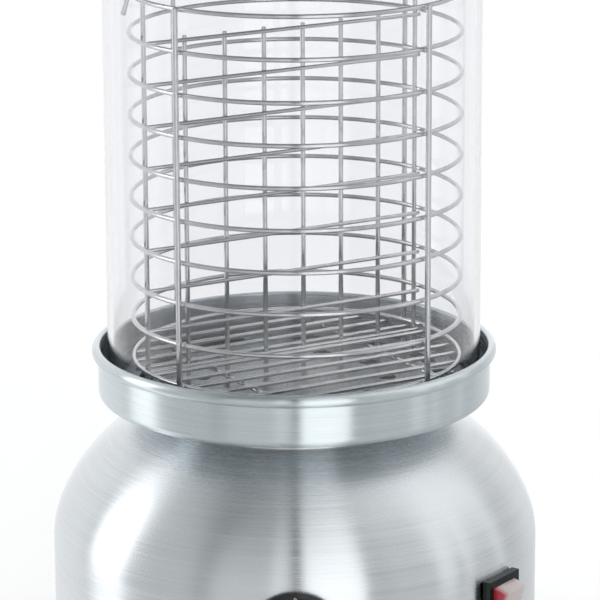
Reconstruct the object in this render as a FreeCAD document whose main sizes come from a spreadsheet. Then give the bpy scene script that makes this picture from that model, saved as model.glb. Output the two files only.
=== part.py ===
import FreeCAD, Part
import math
import os

import Sketcher
from FreeCAD import Placement, Rotation, Vector

# Hot dog steamer: a spun base with a water tank, a rimmed pan, a glass cylinder, a wire basket with a divider
# and a lid.
# Millimetres and degrees. +Z is up, the front with the knob faces -Y, and the table is Z = 0 under the axis.

os.makedirs("parts", exist_ok=True)
doc = FreeCAD.newDocument("steamer")

# Driving sizes, each written once. An azimuth is counted from the front towards the right.
SIZES = {
    # feet
    "foot_height": 9,
    "foot_top_radius": 12,
    "foot_floor_radius": 10,
    "foot_count": 4,
    "foot_inset": 27,
    "foot_first_azimuth": 45,
    "foot_recess_radius": 5,
    "foot_recess_depth": 5,
    # base plate
    "plate_thickness": 1.2,
    "plate_inset": 0.5,
    "vent_count": 8,
    "vent_inner_radius": 30,
    "vent_inset": 69,
    "vent_width": 6,
    # spun housing
    "housing_radius": 131,
    "housing_sheet": 1.2,
    "housing_bend": 3,
    "wall_height": 65.8,
    "shoulder_radius": 49.3,
    "shoulder_angle": 21.7,
    "dome_radius": 93.3,
    "land_inset": 53,
    "flange_width": 14,
    # screws, nuts and studs
    "screw_radius": 2,
    "screw_clearance": 0.2,
    "thread_clearance": 0.05,
    "screw_head_radius": 3.6,
    "screw_head_height": 2.2,
    "screw_grip": 7,
    "nut_flats": 7,
    "nut_height": 3.2,
    "rim_screw_count": 6,
    "rim_screw_inset": 9,
    "rim_screw_first_azimuth": 15,
    # water tank
    "tank_mouth_clearance": 1.5,
    "tank_flange_width": 8,
    "tank_flange_margin": 1.5,
    "tank_sheet": 1,
    "tank_floor_height": 70,
    "tank_corner": 3,
    "tank_rim_height": 8.7,
    "tank_stud_count": 3,
    "tank_stud_inset": 3.3,
    "tank_stud_azimuth": 60,
    "tank_stud_length": 8,
    # heater under the tank
    "heater_tube_radius": 3.2,
    "heater_inset": 30.5,
    "heater_leg_length": 22,
    "heater_pin_radius": 1.6,
    "heater_pin_length": 9,
    "heater_seat": 0.1,
    "clamp_inset": 18.5,
    "clamp_thickness": 1.5,
    "clamp_stud_radius": 3,
    "clamp_stud_spare": 6,
    "clamp_nut_flats": 10,
    "clamp_nut_height": 5,
    "cutout_flange_radius": 12,
    "cutout_flange_height": 1,
    "cutout_radius": 8,
    "cutout_height": 7,
    "cutout_back": 26,
    "cutout_tab_width": 5,
    "cutout_tab_thickness": 0.8,
    "cutout_tab_length": 7,
    # controls
    "control_height": 61,
    "knob_gap": 0.4,
    "knob_skirt_radius": 26,
    "knob_skirt_height": 3.5,
    "knob_skirt_taper": 2,
    "knob_grip_radius": 20,
    "knob_grip_taper": 1.5,
    "knob_height": 19,
    "knob_edge": 1.6,
    "knob_flute_count": 16,
    "knob_flute_radius": 2.2,
    "knob_flute_depth": 1.1,
    "shaft_radius": 3,
    "shaft_clearance": 0.05,
    "shaft_hole_radius": 6,
    "shaft_grip": 13,
    "shaft_bearing": 16,
    # thermostat and its bracket
    "bracket_flange_clearance": 0.9,
    "bracket_thickness": 1.6,
    "bracket_width": 44,
    "bracket_foot": 26,
    "bracket_above_axis": 20,
    "bracket_screw_spacing": 28,
    "thermostat_width": 36,
    "thermostat_tall": 38,
    "thermostat_depth": 20,
    "neck_radius": 5,
    "neck_length": 9,
    "neck_nut_flats": 14,
    "neck_nut_height": 4,
    "bulb_radius": 3.1,
    "bulb_length": 44,
    "bulb_azimuth": -32,
    "bulb_bottom_height": 84,
    "pocket_wall": 0.8,
    "pocket_clearance": 0.1,
    "pocket_length": 30,
    "capillary_radius": 0.8,
    "capillary_bend": 6,
    # rocker switch
    "switch_azimuth": 54,
    "bezel_width": 28,
    "bezel_height": 31,
    "bezel_depth": 4.4,
    "bezel_edge": 1,
    "bezel_gap": 0.1,
    "switch_width": 24,
    "switch_tall": 27,
    "switch_depth": 26,
    "switch_hole_clearance": 0.3,
    "switch_pocket_depth": 12,
    "rocker_width": 20.6,
    "rocker_side_clearance": 0.3,
    "rocker_half_height": 12,
    "rocker_end_half": 10.6,
    "rocker_stand": 7,
    "rocker_valley": 5.4,
    "rocker_rear": 5,
    "rocker_rear_half": 8.4,
    "rocker_pivot_depth": 2.6,
    "rocker_tilt": 9,
    "rocker_pin_radius": 1.4,
    "rocker_pin_length": 1.2,
    "blade_width": 6.3,
    "blade_thickness": 0.8,
    "blade_length": 9,
    "blade_pitch": 8,
    "blade_rows": 3,
    # mains inlet
    "gland_height": 32,
    "gland_radius": 10,
    "gland_flange": 3,
    "gland_nose": 8,
    "gland_nose_radius": 7,
    "gland_barrel_radius": 6.8,
    "gland_barrel_length": 9,
    "gland_hole_clearance": 0.2,
    "gland_bore_radius": 3.6,
    "gland_entry_radius": 4.8,
    "gland_entry_end": 1.2,
    "gland_nut_flats": 19,
    "gland_nut_height": 4,
    "block_width": 34,
    "block_depth": 18,
    "block_height": 17,
    "block_across": 34,
    "block_inset": 47,
    "block_ways": 3,
    "block_pitch": 10,
    "block_tunnel_radius": 2.4,
    "block_well_radius": 2.6,
    "block_well_depth": 6,
    # pan
    "pan_margin": 5.3,
    "pan_sheet": 1.2,
    "pan_corner": 4.5,
    "pan_wall_height": 22.4,
    "pan_rim_width": 3.3,
    "pan_rim_under": 3.2,
    "pan_rim_over": 3.2,
    "pan_rim_land": 1.5,
    "pan_rim_under_arc": 3.3,
    "pan_rim_over_arc": 3.3,
    "throat_clearance": 4.3,
    "throat_depth": 9,
    "throat_bend": 3,
    # steam plate
    "steam_plate_clearance": 1.5,
    "steam_plate_sheet": 1,
    "steam_plate_height": 7.3,
    "steam_plate_corner": 2,
    "steam_slot_count": 12,
    "steam_slot_inset": 11.5,
    "steam_slot_width": 8,
    "steam_slot_angle": 20,
    "steam_hole_count": 10,
    "steam_hole_inset": 45.5,
    "steam_hole_radius": 5,
    # glass
    "glass_radius": 100,
    "glass_wall": 3,
    "glass_height": 250,
    "glass_edge": 1.4,
    # basket
    "basket_shift": 1.5,
    "basket_clearance": 8.25,
    "ring_wire": 1.25,
    "ring_pitch": 22,
    "ring_count": 10,
    "ring_above_plate": 14.5,
    "upright_wire": 1.5,
    "upright_count": 4,
    "upright_azimuth": -42,
    "upright_above_ring": 1,
    "weld_sink": 0.15,
    "floor_wire": 1.25,
    "floor_pitch": 15,
    "floor_end_inset": 0.6,
    "cross_wire_offset": 47,
    # divider
    "divider_angle": 29.8,
    "divider_set_back": 13,
    "divider_wire": 1.3,
    "divider_bar_wire": 1.1,
    "divider_bar_drop": 2,
    "divider_bar_spare": 1.8,
    "divider_ring_clearance": 1.33,
    "divider_wire_count": 8,
    "divider_foot_clearance": 0.4,
    "divider_top_spare": 2,
    "hook_outer_clearance": 1.77,
    "hook_lean": 14,
    "hook_leg_length": 8.6,
    "hook_clearance": 0.3,
    # lid
    "lid_sheet": 1.2,
    "lid_skirt_clearance": 0.9,
    "lid_skirt_height": 9,
    "lid_bend": 3,
    "lid_ledge": 11,
    "lid_rise": 19,
    "lid_knob_radius": 17,
    "lid_knob_base_radius": 10,
    "lid_knob_waist_radius": 8,
    "lid_knob_height": 27,
    "lid_knob_cap_height": 9,
    "lid_knob_base_height": 4,
    "lid_screw_radius": 2.5,
    "lid_screw_head_radius": 4.6,
    "lid_screw_head_height": 3,
    "lid_screw_grip": 14,
    "lid_thread_clearance": 0.05,
    "lid_washer_radius": 7,
    "lid_washer_thickness": 1,
    # how far a cut runs past the face that it starts at
    "overrun": 2,
}


class Size:
    """A number that remembers the sheet formula it comes from."""

    def __init__(self, value, formula):
        self.value = float(value)
        self.formula = formula

    def __add__(self, other):
        return Size(self.value + number(other), f"({self.formula} + {formula(other)})")

    def __radd__(self, other):
        return as_size(other) + self

    def __sub__(self, other):
        return Size(self.value - number(other), f"({self.formula} - {formula(other)})")

    def __rsub__(self, other):
        return as_size(other) - self

    def __mul__(self, other):
        return Size(self.value * number(other), f"({self.formula} * {formula(other)})")

    def __rmul__(self, other):
        return self * other

    def __truediv__(self, other):
        return Size(self.value / number(other), f"({self.formula} / {formula(other)})")

    def __neg__(self):
        return Size(-self.value, f"(-1 * {self.formula})")


def number(size):
    return size.value if isinstance(size, Size) else float(size)


def formula(size):
    return size.formula if isinstance(size, Size) else repr(size)


def as_size(size):
    return size if isinstance(size, Size) else Size(size, repr(size))


def root(size):
    return Size(math.sqrt(size.value), f"sqrt({size.formula})")


def cos(angle):
    return Size(math.cos(math.radians(number(angle))), f"cos({formula(angle)})")


def sin(angle):
    return Size(math.sin(math.radians(number(angle))), f"sin({formula(angle)})")


class Sheet:
    """Reads a driving size as an attribute."""

    def __getattr__(self, name):
        return Size(SIZES[name], f"Sizes.{name}")


sheet = doc.addObject("Spreadsheet::Sheet", "Sizes")
for row, (name, value) in enumerate(SIZES.items(), start=1):
    sheet.set(f"A{row}", name)
    sheet.set(f"B{row}", str(value))
    sheet.setAlias(f"B{row}", name)
doc.recompute()
s = Sheet()

# Radii that follow from a neighbour's and a clearance, from the housing's wall inwards.
foot_circle_radius = s.housing_radius - s.foot_inset
vent_outer_radius = s.housing_radius - s.vent_inset
land_radius = s.housing_radius - s.land_inset
tank_rim_radius = land_radius - s.tank_flange_margin
tank_radius = tank_rim_radius - s.tank_flange_width
mouth_radius = tank_radius + s.tank_mouth_clearance
tank_stud_radius = tank_rim_radius - s.tank_stud_inset
heater_bend_radius = tank_radius - s.heater_inset
clamp_radius = tank_radius - s.clamp_inset
throat_radius = tank_radius - s.tank_sheet - s.throat_clearance - s.pan_sheet
block_back = s.housing_radius - s.block_inset

# Radii that follow from the glass: the pan outside it, the steam plate and the basket inside.
pan_radius = s.glass_radius + s.pan_margin
pan_rim_radius = pan_radius + s.pan_rim_width
glass_inside = s.glass_radius - s.glass_wall
steam_plate_radius = glass_inside - s.steam_plate_clearance
steam_slot_outer = steam_plate_radius - s.steam_slot_inset
steam_slot_inner = steam_slot_outer - s.steam_slot_width
steam_hole_circle = steam_plate_radius - s.steam_hole_inset
ring_radius = glass_inside - s.basket_clearance - s.ring_wire

# Heights that follow from the sizes, from the table up.
plate_top = s.foot_height + s.plate_thickness
shoulder_z = plate_top + s.wall_height
shoulder_x = s.housing_radius - s.shoulder_radius
dome_x = shoulder_x + (s.shoulder_radius - s.dome_radius) * cos(s.shoulder_angle)
dome_z = shoulder_z + (s.shoulder_radius - s.dome_radius) * sin(s.shoulder_angle)
land_z = dome_z + root(s.dome_radius * s.dome_radius - (land_radius - dome_x) * (land_radius - dome_x))
pan_z = land_z + s.tank_rim_height
pan_floor_z = pan_z + s.pan_sheet
steam_plate_z = pan_floor_z + s.steam_plate_height
low_ring_z = steam_plate_z + s.ring_above_plate
top_ring_z = low_ring_z + s.ring_pitch * (s.ring_count - 1)
glass_top_z = pan_floor_z + s.glass_height
hole_radius = s.screw_radius + s.screw_clearance

nodes = []


def bind(thing, **bindings):
    """Ties properties of an object to sheet formulas; a double underscore stands for a dot."""
    for name, size in bindings.items():
        path = name.replace("__", ".")
        if isinstance(size, Size):
            thing.setExpression(path, size.formula)
        else:
            setattr(thing, path, size)


def place(thing, at=(0, 0, 0), turn=None, about=Vector(0, 0, 1)):
    """Puts an object at a bound place, turned by a bound angle about an axis."""
    thing.Placement = Placement(Vector(*[number(v) for v in at]), Rotation(about, number(turn or 0)))
    for axis, size in zip("xyz", at):
        if isinstance(size, Size):
            thing.setExpression(f"Placement.Base.{axis}", size.formula)
    if isinstance(turn, Size):
        thing.setExpression("Placement.Rotation.Angle", turn.formula)
    return thing


# Helpers for bodies made of sketches and features.
def new_body(label):
    body = doc.addObject("PartDesign::Body", label)
    body.Label = label
    return body


def origin_part(body, role):
    return next(f for f in body.Origin.OriginFeatures if f.Role == role)


def new_sketch(body, name, plane, at=(0, 0, 0), turn=None, about=Vector(0, 1, 0)):
    """A sketch on an origin plane of the body, moved and turned in that plane's own frame."""
    sketch = body.newObject("Sketcher::SketchObject", f"{body.Name}_{name}")
    sketch.AttachmentSupport = [(origin_part(body, plane), "")]
    sketch.MapMode = "FlatFace"
    sketch.AttachmentOffset = Placement(Vector(*[number(v) for v in at]), Rotation(about, number(turn or 0)))
    for axis, size in zip("xyz", at):
        if isinstance(size, Size):
            sketch.setExpression(f"AttachmentOffset.Base.{axis}", size.formula)
    if isinstance(turn, Size):
        sketch.setExpression("AttachmentOffset.Rotation.Angle", turn.formula)
    return sketch


def hold(sketch, kind, size, *where):
    """Adds one bound measure, or puts a point on an axis where the measure is a bare zero."""
    if not isinstance(size, Size):
        axis = -2 if kind == "DistanceX" else -1
        sketch.addConstraint(Sketcher.Constraint("PointOnObject", where[-2], where[-1], axis))
        return
    index = sketch.addConstraint(Sketcher.Constraint(kind, *where, size.value))
    label = f"size_{index}"
    sketch.renameConstraint(index, label)
    sketch.setExpression(f"Constraints.{label}", size.formula)


def arc_between(start, end, radius):
    """The shorter arc from start to end; a positive radius turns left on the way."""
    chord = end - start
    left = Vector(-chord.y, chord.x, 0).normalize()
    rise = math.sqrt(max(radius * radius - chord.Length * chord.Length / 4, 0))
    centre = (start + end) / 2 + left * math.copysign(rise, radius)
    first, last = (start, end) if radius > 0 else (end, start)
    angles = [math.atan2(p.y - centre.y, p.x - centre.x) for p in (first, last)]
    return Part.ArcOfCircle(Part.Circle(centre, Vector(0, 0, 1), abs(radius)), *angles)


def draw(sketch, corners, closed=True):
    """Draws edges through corners: (across, up), or (across, up, radius) where an arc arrives."""
    spots = [Vector(number(c[0]), number(c[1]), 0) for c in corners]
    first = sketch.GeometryCount
    edges = []
    for i in range(0 if closed else 1, len(corners)):
        start, end = spots[i - 1], spots[i]
        radius = number(corners[i][2]) if len(corners[i]) == 3 else 0
        shape = arc_between(start, end, radius) if radius else Part.LineSegment(start, end)
        sketch.addGeometry(shape, False)
        index = first + len(edges)
        start_pos, end_pos = (2, 1) if radius < 0 else (1, 2)
        edges.append((index, start_pos, end_pos, i))
        if radius:
            size = corners[i][2]
            hold(sketch, "Radius", -size if radius < 0 else size, index)
    for here, following in zip(edges, edges[1:] + edges[:1] if closed else edges[1:]):
        sketch.addConstraint(Sketcher.Constraint("Coincident", here[0], here[2], following[0], following[1]))
    if not closed:
        index, start_pos, end_pos, i = edges[0]
        hold(sketch, "DistanceX", corners[0][0], -1, 1, index, start_pos)
        hold(sketch, "DistanceY", corners[0][1], -1, 1, index, start_pos)
    for index, start_pos, end_pos, i in edges:
        hold(sketch, "DistanceX", corners[i][0], -1, 1, index, end_pos)
        hold(sketch, "DistanceY", corners[i][1], -1, 1, index, end_pos)
    return sketch


def draw_circle(sketch, across, up, radius):
    index = sketch.GeometryCount
    centre = Vector(number(across), number(up), 0)
    sketch.addGeometry(Part.Circle(centre, Vector(0, 0, 1), number(radius)), False)
    hold(sketch, "Radius", radius, index)
    hold(sketch, "DistanceX", across, -1, 1, index, 3)
    hold(sketch, "DistanceY", up, -1, 1, index, 3)
    return sketch


def draw_box(sketch, left, right, low, high):
    return draw(sketch, [(left, low), (right, low), (right, high), (left, high)])


def hexagon(flats):
    """The corners of a hexagon with two flats facing up and down."""
    side = flats / root(as_size(3.0))
    half = side / 2
    tall = flats / 2
    return [(side, 0), (half, tall), (-half, tall), (-side, 0), (-half, -tall), (half, -tall)]


def revolve(body, name, corners):
    sketch = draw(new_sketch(body, f"{name}_outline", "XZ_Plane"), corners)
    feature = body.newObject("PartDesign::Revolution", f"{body.Name}_{name}")
    feature.Profile = sketch
    feature.ReferenceAxis = (sketch, ["V_Axis"])
    feature.Angle = 360
    return feature


def pad(body, name, sketch, length, reverse=False, both_ways=False):
    feature = body.newObject("PartDesign::Pad", f"{body.Name}_{name}")
    feature.Profile = sketch
    feature.Reversed = reverse
    feature.SideType = "Symmetric" if both_ways else "One side"
    bind(feature, Length=length)
    return feature


def pocket(body, name, sketch, length, reverse=False, both_ways=False):
    doc.recompute()
    before = body.Shape.Volume
    feature = body.newObject("PartDesign::Pocket", f"{body.Name}_{name}")
    feature.Profile = sketch
    feature.Reversed = reverse
    feature.SideType = "Symmetric" if both_ways else "One side"
    bind(feature, Length=length)
    doc.recompute()
    if body.Shape.Volume >= before:
        raise RuntimeError(f"{feature.Name} cut nothing")
    return feature


def repeat_round(body, name, original, count, axis="Z_Axis"):
    feature = body.newObject("PartDesign::PolarPattern", f"{body.Name}_{name}")
    feature.Originals = [original]
    feature.Axis = (origin_part(body, axis), [""])
    feature.Angle = 360
    bind(feature, Occurrences=count)
    body.Tip = feature
    return feature


def pipe(body, name, path, section):
    feature = body.newObject("PartDesign::AdditivePipe", f"{body.Name}_{name}")
    feature.Profile = section
    feature.Spine = (path, [f"Edge{i + 1}" for i in range(path.GeometryCount)])
    return feature


def keep(thing, label=None):
    """Marks an object as a piece of the steamer that is written out."""
    if label:
        thing.Label = label
    nodes.append(thing)
    return thing


# Helpers for pieces made of primitives.
def cylinder(name, radius, height, at=(0, 0, 0), turn=None, about=Vector(0, 0, 1)):
    thing = doc.addObject("Part::Cylinder", name)
    bind(thing, Radius=radius, Height=height)
    return place(thing, at, turn, about)


def block(name, sides, at=(0, 0, 0)):
    thing = doc.addObject("Part::Box", name)
    bind(thing, Length=sides[0], Width=sides[1], Height=sides[2])
    return place(thing, at)


def cut(name, base, tool):
    thing = doc.addObject("Part::Cut", name)
    thing.Base = base
    thing.Tool = tool
    return thing


def fuse(name, *things):
    thing = doc.addObject("Part::MultiFuse", name)
    thing.Shapes = list(things)
    return thing


def group(label, things):
    thing = doc.addObject("Part::Compound", label)
    thing.Links = list(things)
    return keep(thing, label)


def round_spots(radius, count, first, height):
    """Places spread evenly round a circle, counted from the front."""
    turns = [first + i * 360 / int(number(count)) for i in range(int(number(count)))]
    return [(radius * sin(t), -(radius * cos(t)), height) for t in turns]


def lifted(spot, rise):
    return (spot[0], spot[1], spot[2] + rise)


def screw_up(name, spot, grip):
    """A pan head screw whose shank points up; the spot is the underside that its head bears on."""
    head_spot = lifted(spot, -s.screw_head_height)
    head = cylinder(f"{name}_head", s.screw_head_radius, s.screw_head_height, head_spot)
    shank = cylinder(f"{name}_shank", s.screw_radius, grip, spot)
    return fuse(name, head, shank)


def nut_on(name, spot, flats, height, bore):
    prism = doc.addObject("Part::Prism", f"{name}_hexagon")
    prism.Polygon = 6
    bind(prism, Circumradius=flats / root(as_size(3.0)), Height=height)
    place(prism, spot)
    hole = cylinder(f"{name}_bore", bore, height + s.overrun * 2, lifted(spot, -s.overrun))
    return cut(name, prism, hole)


# Feet: moulded rubber cones, each with a recess for its screw head.
foot_spots = round_spots(foot_circle_radius, s.foot_count, s.foot_first_azimuth, 0)
feet = []
for i, spot in enumerate(foot_spots):
    cone = doc.addObject("Part::Cone", f"foot_{i}_cone")
    bind(cone, Radius1=s.foot_floor_radius, Radius2=s.foot_top_radius, Height=s.foot_height)
    place(cone, spot)
    recess = cylinder(f"foot_{i}_recess", s.foot_recess_radius, s.foot_recess_depth, spot)
    drilled = cylinder(f"foot_{i}_hole", hole_radius, s.foot_height, spot)
    feet.append(cut(f"foot_{i}", cone, fuse(f"foot_{i}_core", recess, drilled)))
group("rubber_feet", feet)

# Base plate: a flat steel disc under the housing's flange, with vents and screw holes.
base_plate = new_body("base_plate")
rim_screw_circle = s.housing_radius - s.rim_screw_inset
outline = new_sketch(base_plate, "outline", "XY_Plane", (0, 0, s.foot_height))
draw_circle(outline, 0, 0, s.housing_radius - s.plate_inset)
pad(base_plate, "disc", outline, s.plate_thickness)
slot = new_sketch(base_plate, "vent_outline", "XY_Plane", (0, 0, s.foot_height))
draw_box(slot, s.vent_inner_radius, vent_outer_radius, -s.vent_width / 2, s.vent_width / 2)
vent = pocket(base_plate, "vent", slot, s.plate_thickness, reverse=True)
repeat_round(base_plate, "vents", vent, s.vent_count)
holes = new_sketch(base_plate, "foot_hole_outline", "XY_Plane", (0, 0, s.foot_height))
for spot in foot_spots:
    draw_circle(holes, spot[0], spot[1], hole_radius)
pocket(base_plate, "foot_holes", holes, s.plate_thickness, reverse=True)
rim_spots = round_spots(rim_screw_circle, s.rim_screw_count, s.rim_screw_first_azimuth, s.foot_height)
holes = new_sketch(base_plate, "rim_hole_outline", "XY_Plane", (0, 0, s.foot_height))
for spot in rim_spots:
    draw_circle(holes, spot[0], spot[1], hole_radius)
pocket(base_plate, "rim_holes", holes, s.plate_thickness, reverse=True)
flange_x = s.housing_radius - s.housing_bend - s.flange_width
bracket_reach = flange_x - s.bracket_flange_clearance
bracket_half = s.bracket_width / 2
bracket_distance = root(bracket_reach * bracket_reach - bracket_half * bracket_half)
bracket_front = -bracket_distance
bracket_screw_y = bracket_front + s.bracket_thickness + s.bracket_foot / 2
bracket_spots = [(side * s.bracket_screw_spacing / 2, bracket_screw_y, s.foot_height) for side in (-1, 1)]
holes = new_sketch(base_plate, "bracket_hole_outline", "XY_Plane", (0, 0, s.foot_height))
for spot in bracket_spots:
    draw_circle(holes, spot[0], spot[1], hole_radius)
pocket(base_plate, "bracket_holes", holes, s.plate_thickness, reverse=True)
keep(base_plate)

# Housing: one spun shell from its turned-in foot flange up the wall and over the dome to the tank's mouth.
housing = new_body("base_housing")
dome_inside = s.dome_radius - s.housing_sheet
land_inside_z = land_z - s.housing_sheet
land_inside_x = dome_x + root(dome_inside * dome_inside - (land_inside_z - dome_z) * (land_inside_z - dome_z))
inside = s.housing_radius - s.housing_sheet
revolve(housing, "shell", [
    (flange_x, plate_top),
    (s.housing_radius - s.housing_bend, plate_top),
    (s.housing_radius, plate_top + s.housing_bend, s.housing_bend),
    (s.housing_radius, shoulder_z),
    (shoulder_x + s.shoulder_radius * cos(s.shoulder_angle),
     shoulder_z + s.shoulder_radius * sin(s.shoulder_angle), s.shoulder_radius),
    (land_radius, land_z, s.dome_radius),
    (mouth_radius, land_z),
    (mouth_radius, land_inside_z),
    (land_inside_x, land_inside_z),
    (shoulder_x + (s.shoulder_radius - s.housing_sheet) * cos(s.shoulder_angle),
     shoulder_z + (s.shoulder_radius - s.housing_sheet) * sin(s.shoulder_angle), -dome_inside),
    (inside, shoulder_z, -(s.shoulder_radius - s.housing_sheet)),
    (inside, plate_top + s.housing_bend),
    (s.housing_radius - s.housing_bend, plate_top + s.housing_sheet, -(s.housing_bend - s.housing_sheet)),
    (flange_x, plate_top + s.housing_sheet),
])
outside_plane = s.housing_radius + s.overrun
wall_cut = s.housing_sheet + s.overrun * 2
hole = new_sketch(housing, "shaft_hole_outline", "XZ_Plane", (0, 0, outside_plane))
draw_circle(hole, 0, s.control_height, s.shaft_hole_radius)
pocket(housing, "shaft_hole", hole, wall_cut)
opening_half = s.switch_width / 2 + s.switch_hole_clearance
opening_tall = s.switch_tall / 2 + s.switch_hole_clearance
switch_spot = (outside_plane * sin(s.switch_azimuth), 0, outside_plane * cos(s.switch_azimuth))
hole = new_sketch(housing, "switch_opening_outline", "XZ_Plane", switch_spot, s.switch_azimuth)
draw_box(hole, -opening_half, opening_half, s.control_height - opening_tall, s.control_height + opening_tall)
pocket(housing, "switch_opening", hole, wall_cut + s.overrun)
gland_hole_radius = s.gland_barrel_radius + s.gland_hole_clearance
hole = new_sketch(housing, "gland_hole_outline", "XZ_Plane", (0, 0, -outside_plane))
draw_circle(hole, 0, s.gland_height, gland_hole_radius)
pocket(housing, "gland_hole", hole, wall_cut, reverse=True)
holes = new_sketch(housing, "rim_hole_outline", "XY_Plane", (0, 0, plate_top))
for spot in rim_spots:
    draw_circle(holes, spot[0], spot[1], hole_radius)
pocket(housing, "rim_holes", holes, s.housing_sheet, reverse=True)
stud_spots = round_spots(tank_stud_radius, s.tank_stud_count, s.tank_stud_azimuth, land_z)
holes = new_sketch(housing, "stud_hole_outline", "XY_Plane", (0, 0, land_z))
for spot in stud_spots:
    draw_circle(holes, spot[0], spot[1], hole_radius)
pocket(housing, "stud_holes", holes, s.housing_sheet)
keep(housing)

# Screws and nuts that close the base and hold the feet and the bracket.
rim_screws = [screw_up(f"rim_screw_{i}", spot, s.screw_grip) for i, spot in enumerate(rim_spots)]
group("rim_screws", rim_screws)
foot_screws = []
for i, spot in enumerate(foot_spots):
    seat = (spot[0], spot[1], s.foot_recess_depth)
    foot_screws.append(screw_up(f"foot_screw_{i}", seat, s.screw_grip + s.foot_height - s.foot_recess_depth))
group("foot_screws", foot_screws)
bracket_screws = [screw_up(f"bracket_screw_{i}", spot, s.screw_grip) for i, spot in enumerate(bracket_spots)]
group("bracket_screws", bracket_screws)
thread = s.screw_radius + s.thread_clearance
flange_top = plate_top + s.housing_sheet
bracket_top = plate_top + s.bracket_thickness
nut_spots = [(spot[0], spot[1], flange_top) for spot in rim_spots]
nut_spots += [(spot[0], spot[1], plate_top) for spot in foot_spots]
nut_spots += [(spot[0], spot[1], bracket_top) for spot in bracket_spots]
nuts = [nut_on(f"hex_nut_{i}", spot, s.nut_flats, s.nut_height, thread) for i, spot in enumerate(nut_spots)]
group("hex_nuts", nuts)

# Water tank: a drawn pot that hangs in the mouth by its flange; its turned-up rim carries the pan.
tank = new_body("water_tank")
tank_floor = s.tank_floor_height
tank_inside = tank_radius - s.tank_sheet
revolve(tank, "pot", [
    (0, tank_floor),
    (tank_radius - s.tank_corner, tank_floor),
    (tank_radius, tank_floor + s.tank_corner, s.tank_corner),
    (tank_radius, land_z),
    (tank_rim_radius, land_z),
    (tank_rim_radius, pan_z),
    (tank_rim_radius - s.tank_sheet, pan_z),
    (tank_rim_radius - s.tank_sheet, land_z + s.tank_sheet),
    (tank_inside, land_z + s.tank_sheet),
    (tank_inside, tank_floor + s.tank_corner),
    (tank_radius - s.tank_corner, tank_floor + s.tank_sheet, -(s.tank_corner - s.tank_sheet)),
    (0, tank_floor + s.tank_sheet),
])
clamp_top = tank_floor - s.heater_seat * 2 - s.heater_tube_radius * 2
clamp_low = clamp_top - s.clamp_thickness
stud_length = tank_floor - clamp_low + s.clamp_nut_height + s.clamp_stud_spare
outline = new_sketch(tank, "clamp_stud_outline", "XY_Plane", (0, 0, tank_floor))
draw_circle(outline, 0, 0, s.clamp_stud_radius)
pad(tank, "clamp_stud", outline, stud_length, reverse=True)
outline = new_sketch(tank, "flange_stud_outline", "XY_Plane", (0, 0, land_z))
for spot in stud_spots:
    draw_circle(outline, spot[0], spot[1], s.screw_radius)
pad(tank, "flange_studs", outline, s.tank_stud_length, reverse=True)
keep(tank)
tank_nuts = []
for i, spot in enumerate(stud_spots):
    seat = (spot[0], spot[1], land_inside_z - s.nut_height)
    tank_nuts.append(nut_on(f"tank_nut_{i}", seat, s.nut_flats, s.nut_height, thread))
group("tank_nuts", tank_nuts)

# Heater: a sheathed tube bent to a U against the tank's floor, with a terminal pin in each end.
heater = new_body("heating_element")
heater_z = tank_floor - s.heater_seat - s.heater_tube_radius
bend = heater_bend_radius
path = new_sketch(heater, "path", "XY_Plane", (0, 0, heater_z))
draw(path, [(bend, s.heater_leg_length), (bend, 0), (0, -bend, -bend), (-bend, 0, -bend),
            (-bend, s.heater_leg_length)], closed=False)
section = new_sketch(heater, "section", "XZ_Plane", (0, 0, -s.heater_leg_length))
draw_circle(section, bend, heater_z, s.heater_tube_radius)
pipe(heater, "tube", path, section)
pins = new_sketch(heater, "pin_outline", "XZ_Plane", (0, 0, -s.heater_leg_length))
draw_circle(pins, bend, heater_z, s.heater_pin_radius)
draw_circle(pins, -bend, heater_z, s.heater_pin_radius)
pad(heater, "pins", pins, s.heater_pin_length, reverse=True)
keep(heater)

# Clamp plate, its nut, and the overheat cut-out riveted under it.
clamp = new_body("heater_clamp_plate")
outline = new_sketch(clamp, "outline", "XY_Plane", (0, 0, clamp_low))
draw_circle(outline, 0, 0, clamp_radius)
draw_circle(outline, 0, 0, s.clamp_stud_radius + s.screw_clearance)
pad(clamp, "disc", outline, s.clamp_thickness)
keep(clamp)
clamp_thread = s.clamp_stud_radius + s.thread_clearance
clamp_seat = (0, 0, clamp_low - s.clamp_nut_height)
keep(nut_on("clamp_nut", clamp_seat, s.clamp_nut_flats, s.clamp_nut_height, clamp_thread))
cutout_flange = cylinder("cutout_flange", s.cutout_flange_radius, s.cutout_flange_height,
                         (0, s.cutout_back, clamp_low - s.cutout_flange_height))
cutout_can = cylinder("cutout_can", s.cutout_radius, s.cutout_height,
                      (0, s.cutout_back, clamp_low - s.cutout_height))
tabs = []
tab_sides = (s.cutout_tab_thickness, s.cutout_tab_width, s.cutout_tab_length)
tab_y = s.cutout_back - s.cutout_tab_width / 2
tab_low = clamp_low - s.cutout_height - s.cutout_tab_length
for side in (-1, 1):
    tab_x = side * s.cutout_radius / 2 - s.cutout_tab_thickness / 2
    tabs.append(block(f"cutout_tab_{side + 1}", tab_sides, (tab_x, tab_y, tab_low)))
keep(fuse("overheat_cutout", cutout_flange, cutout_can, *tabs))

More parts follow.
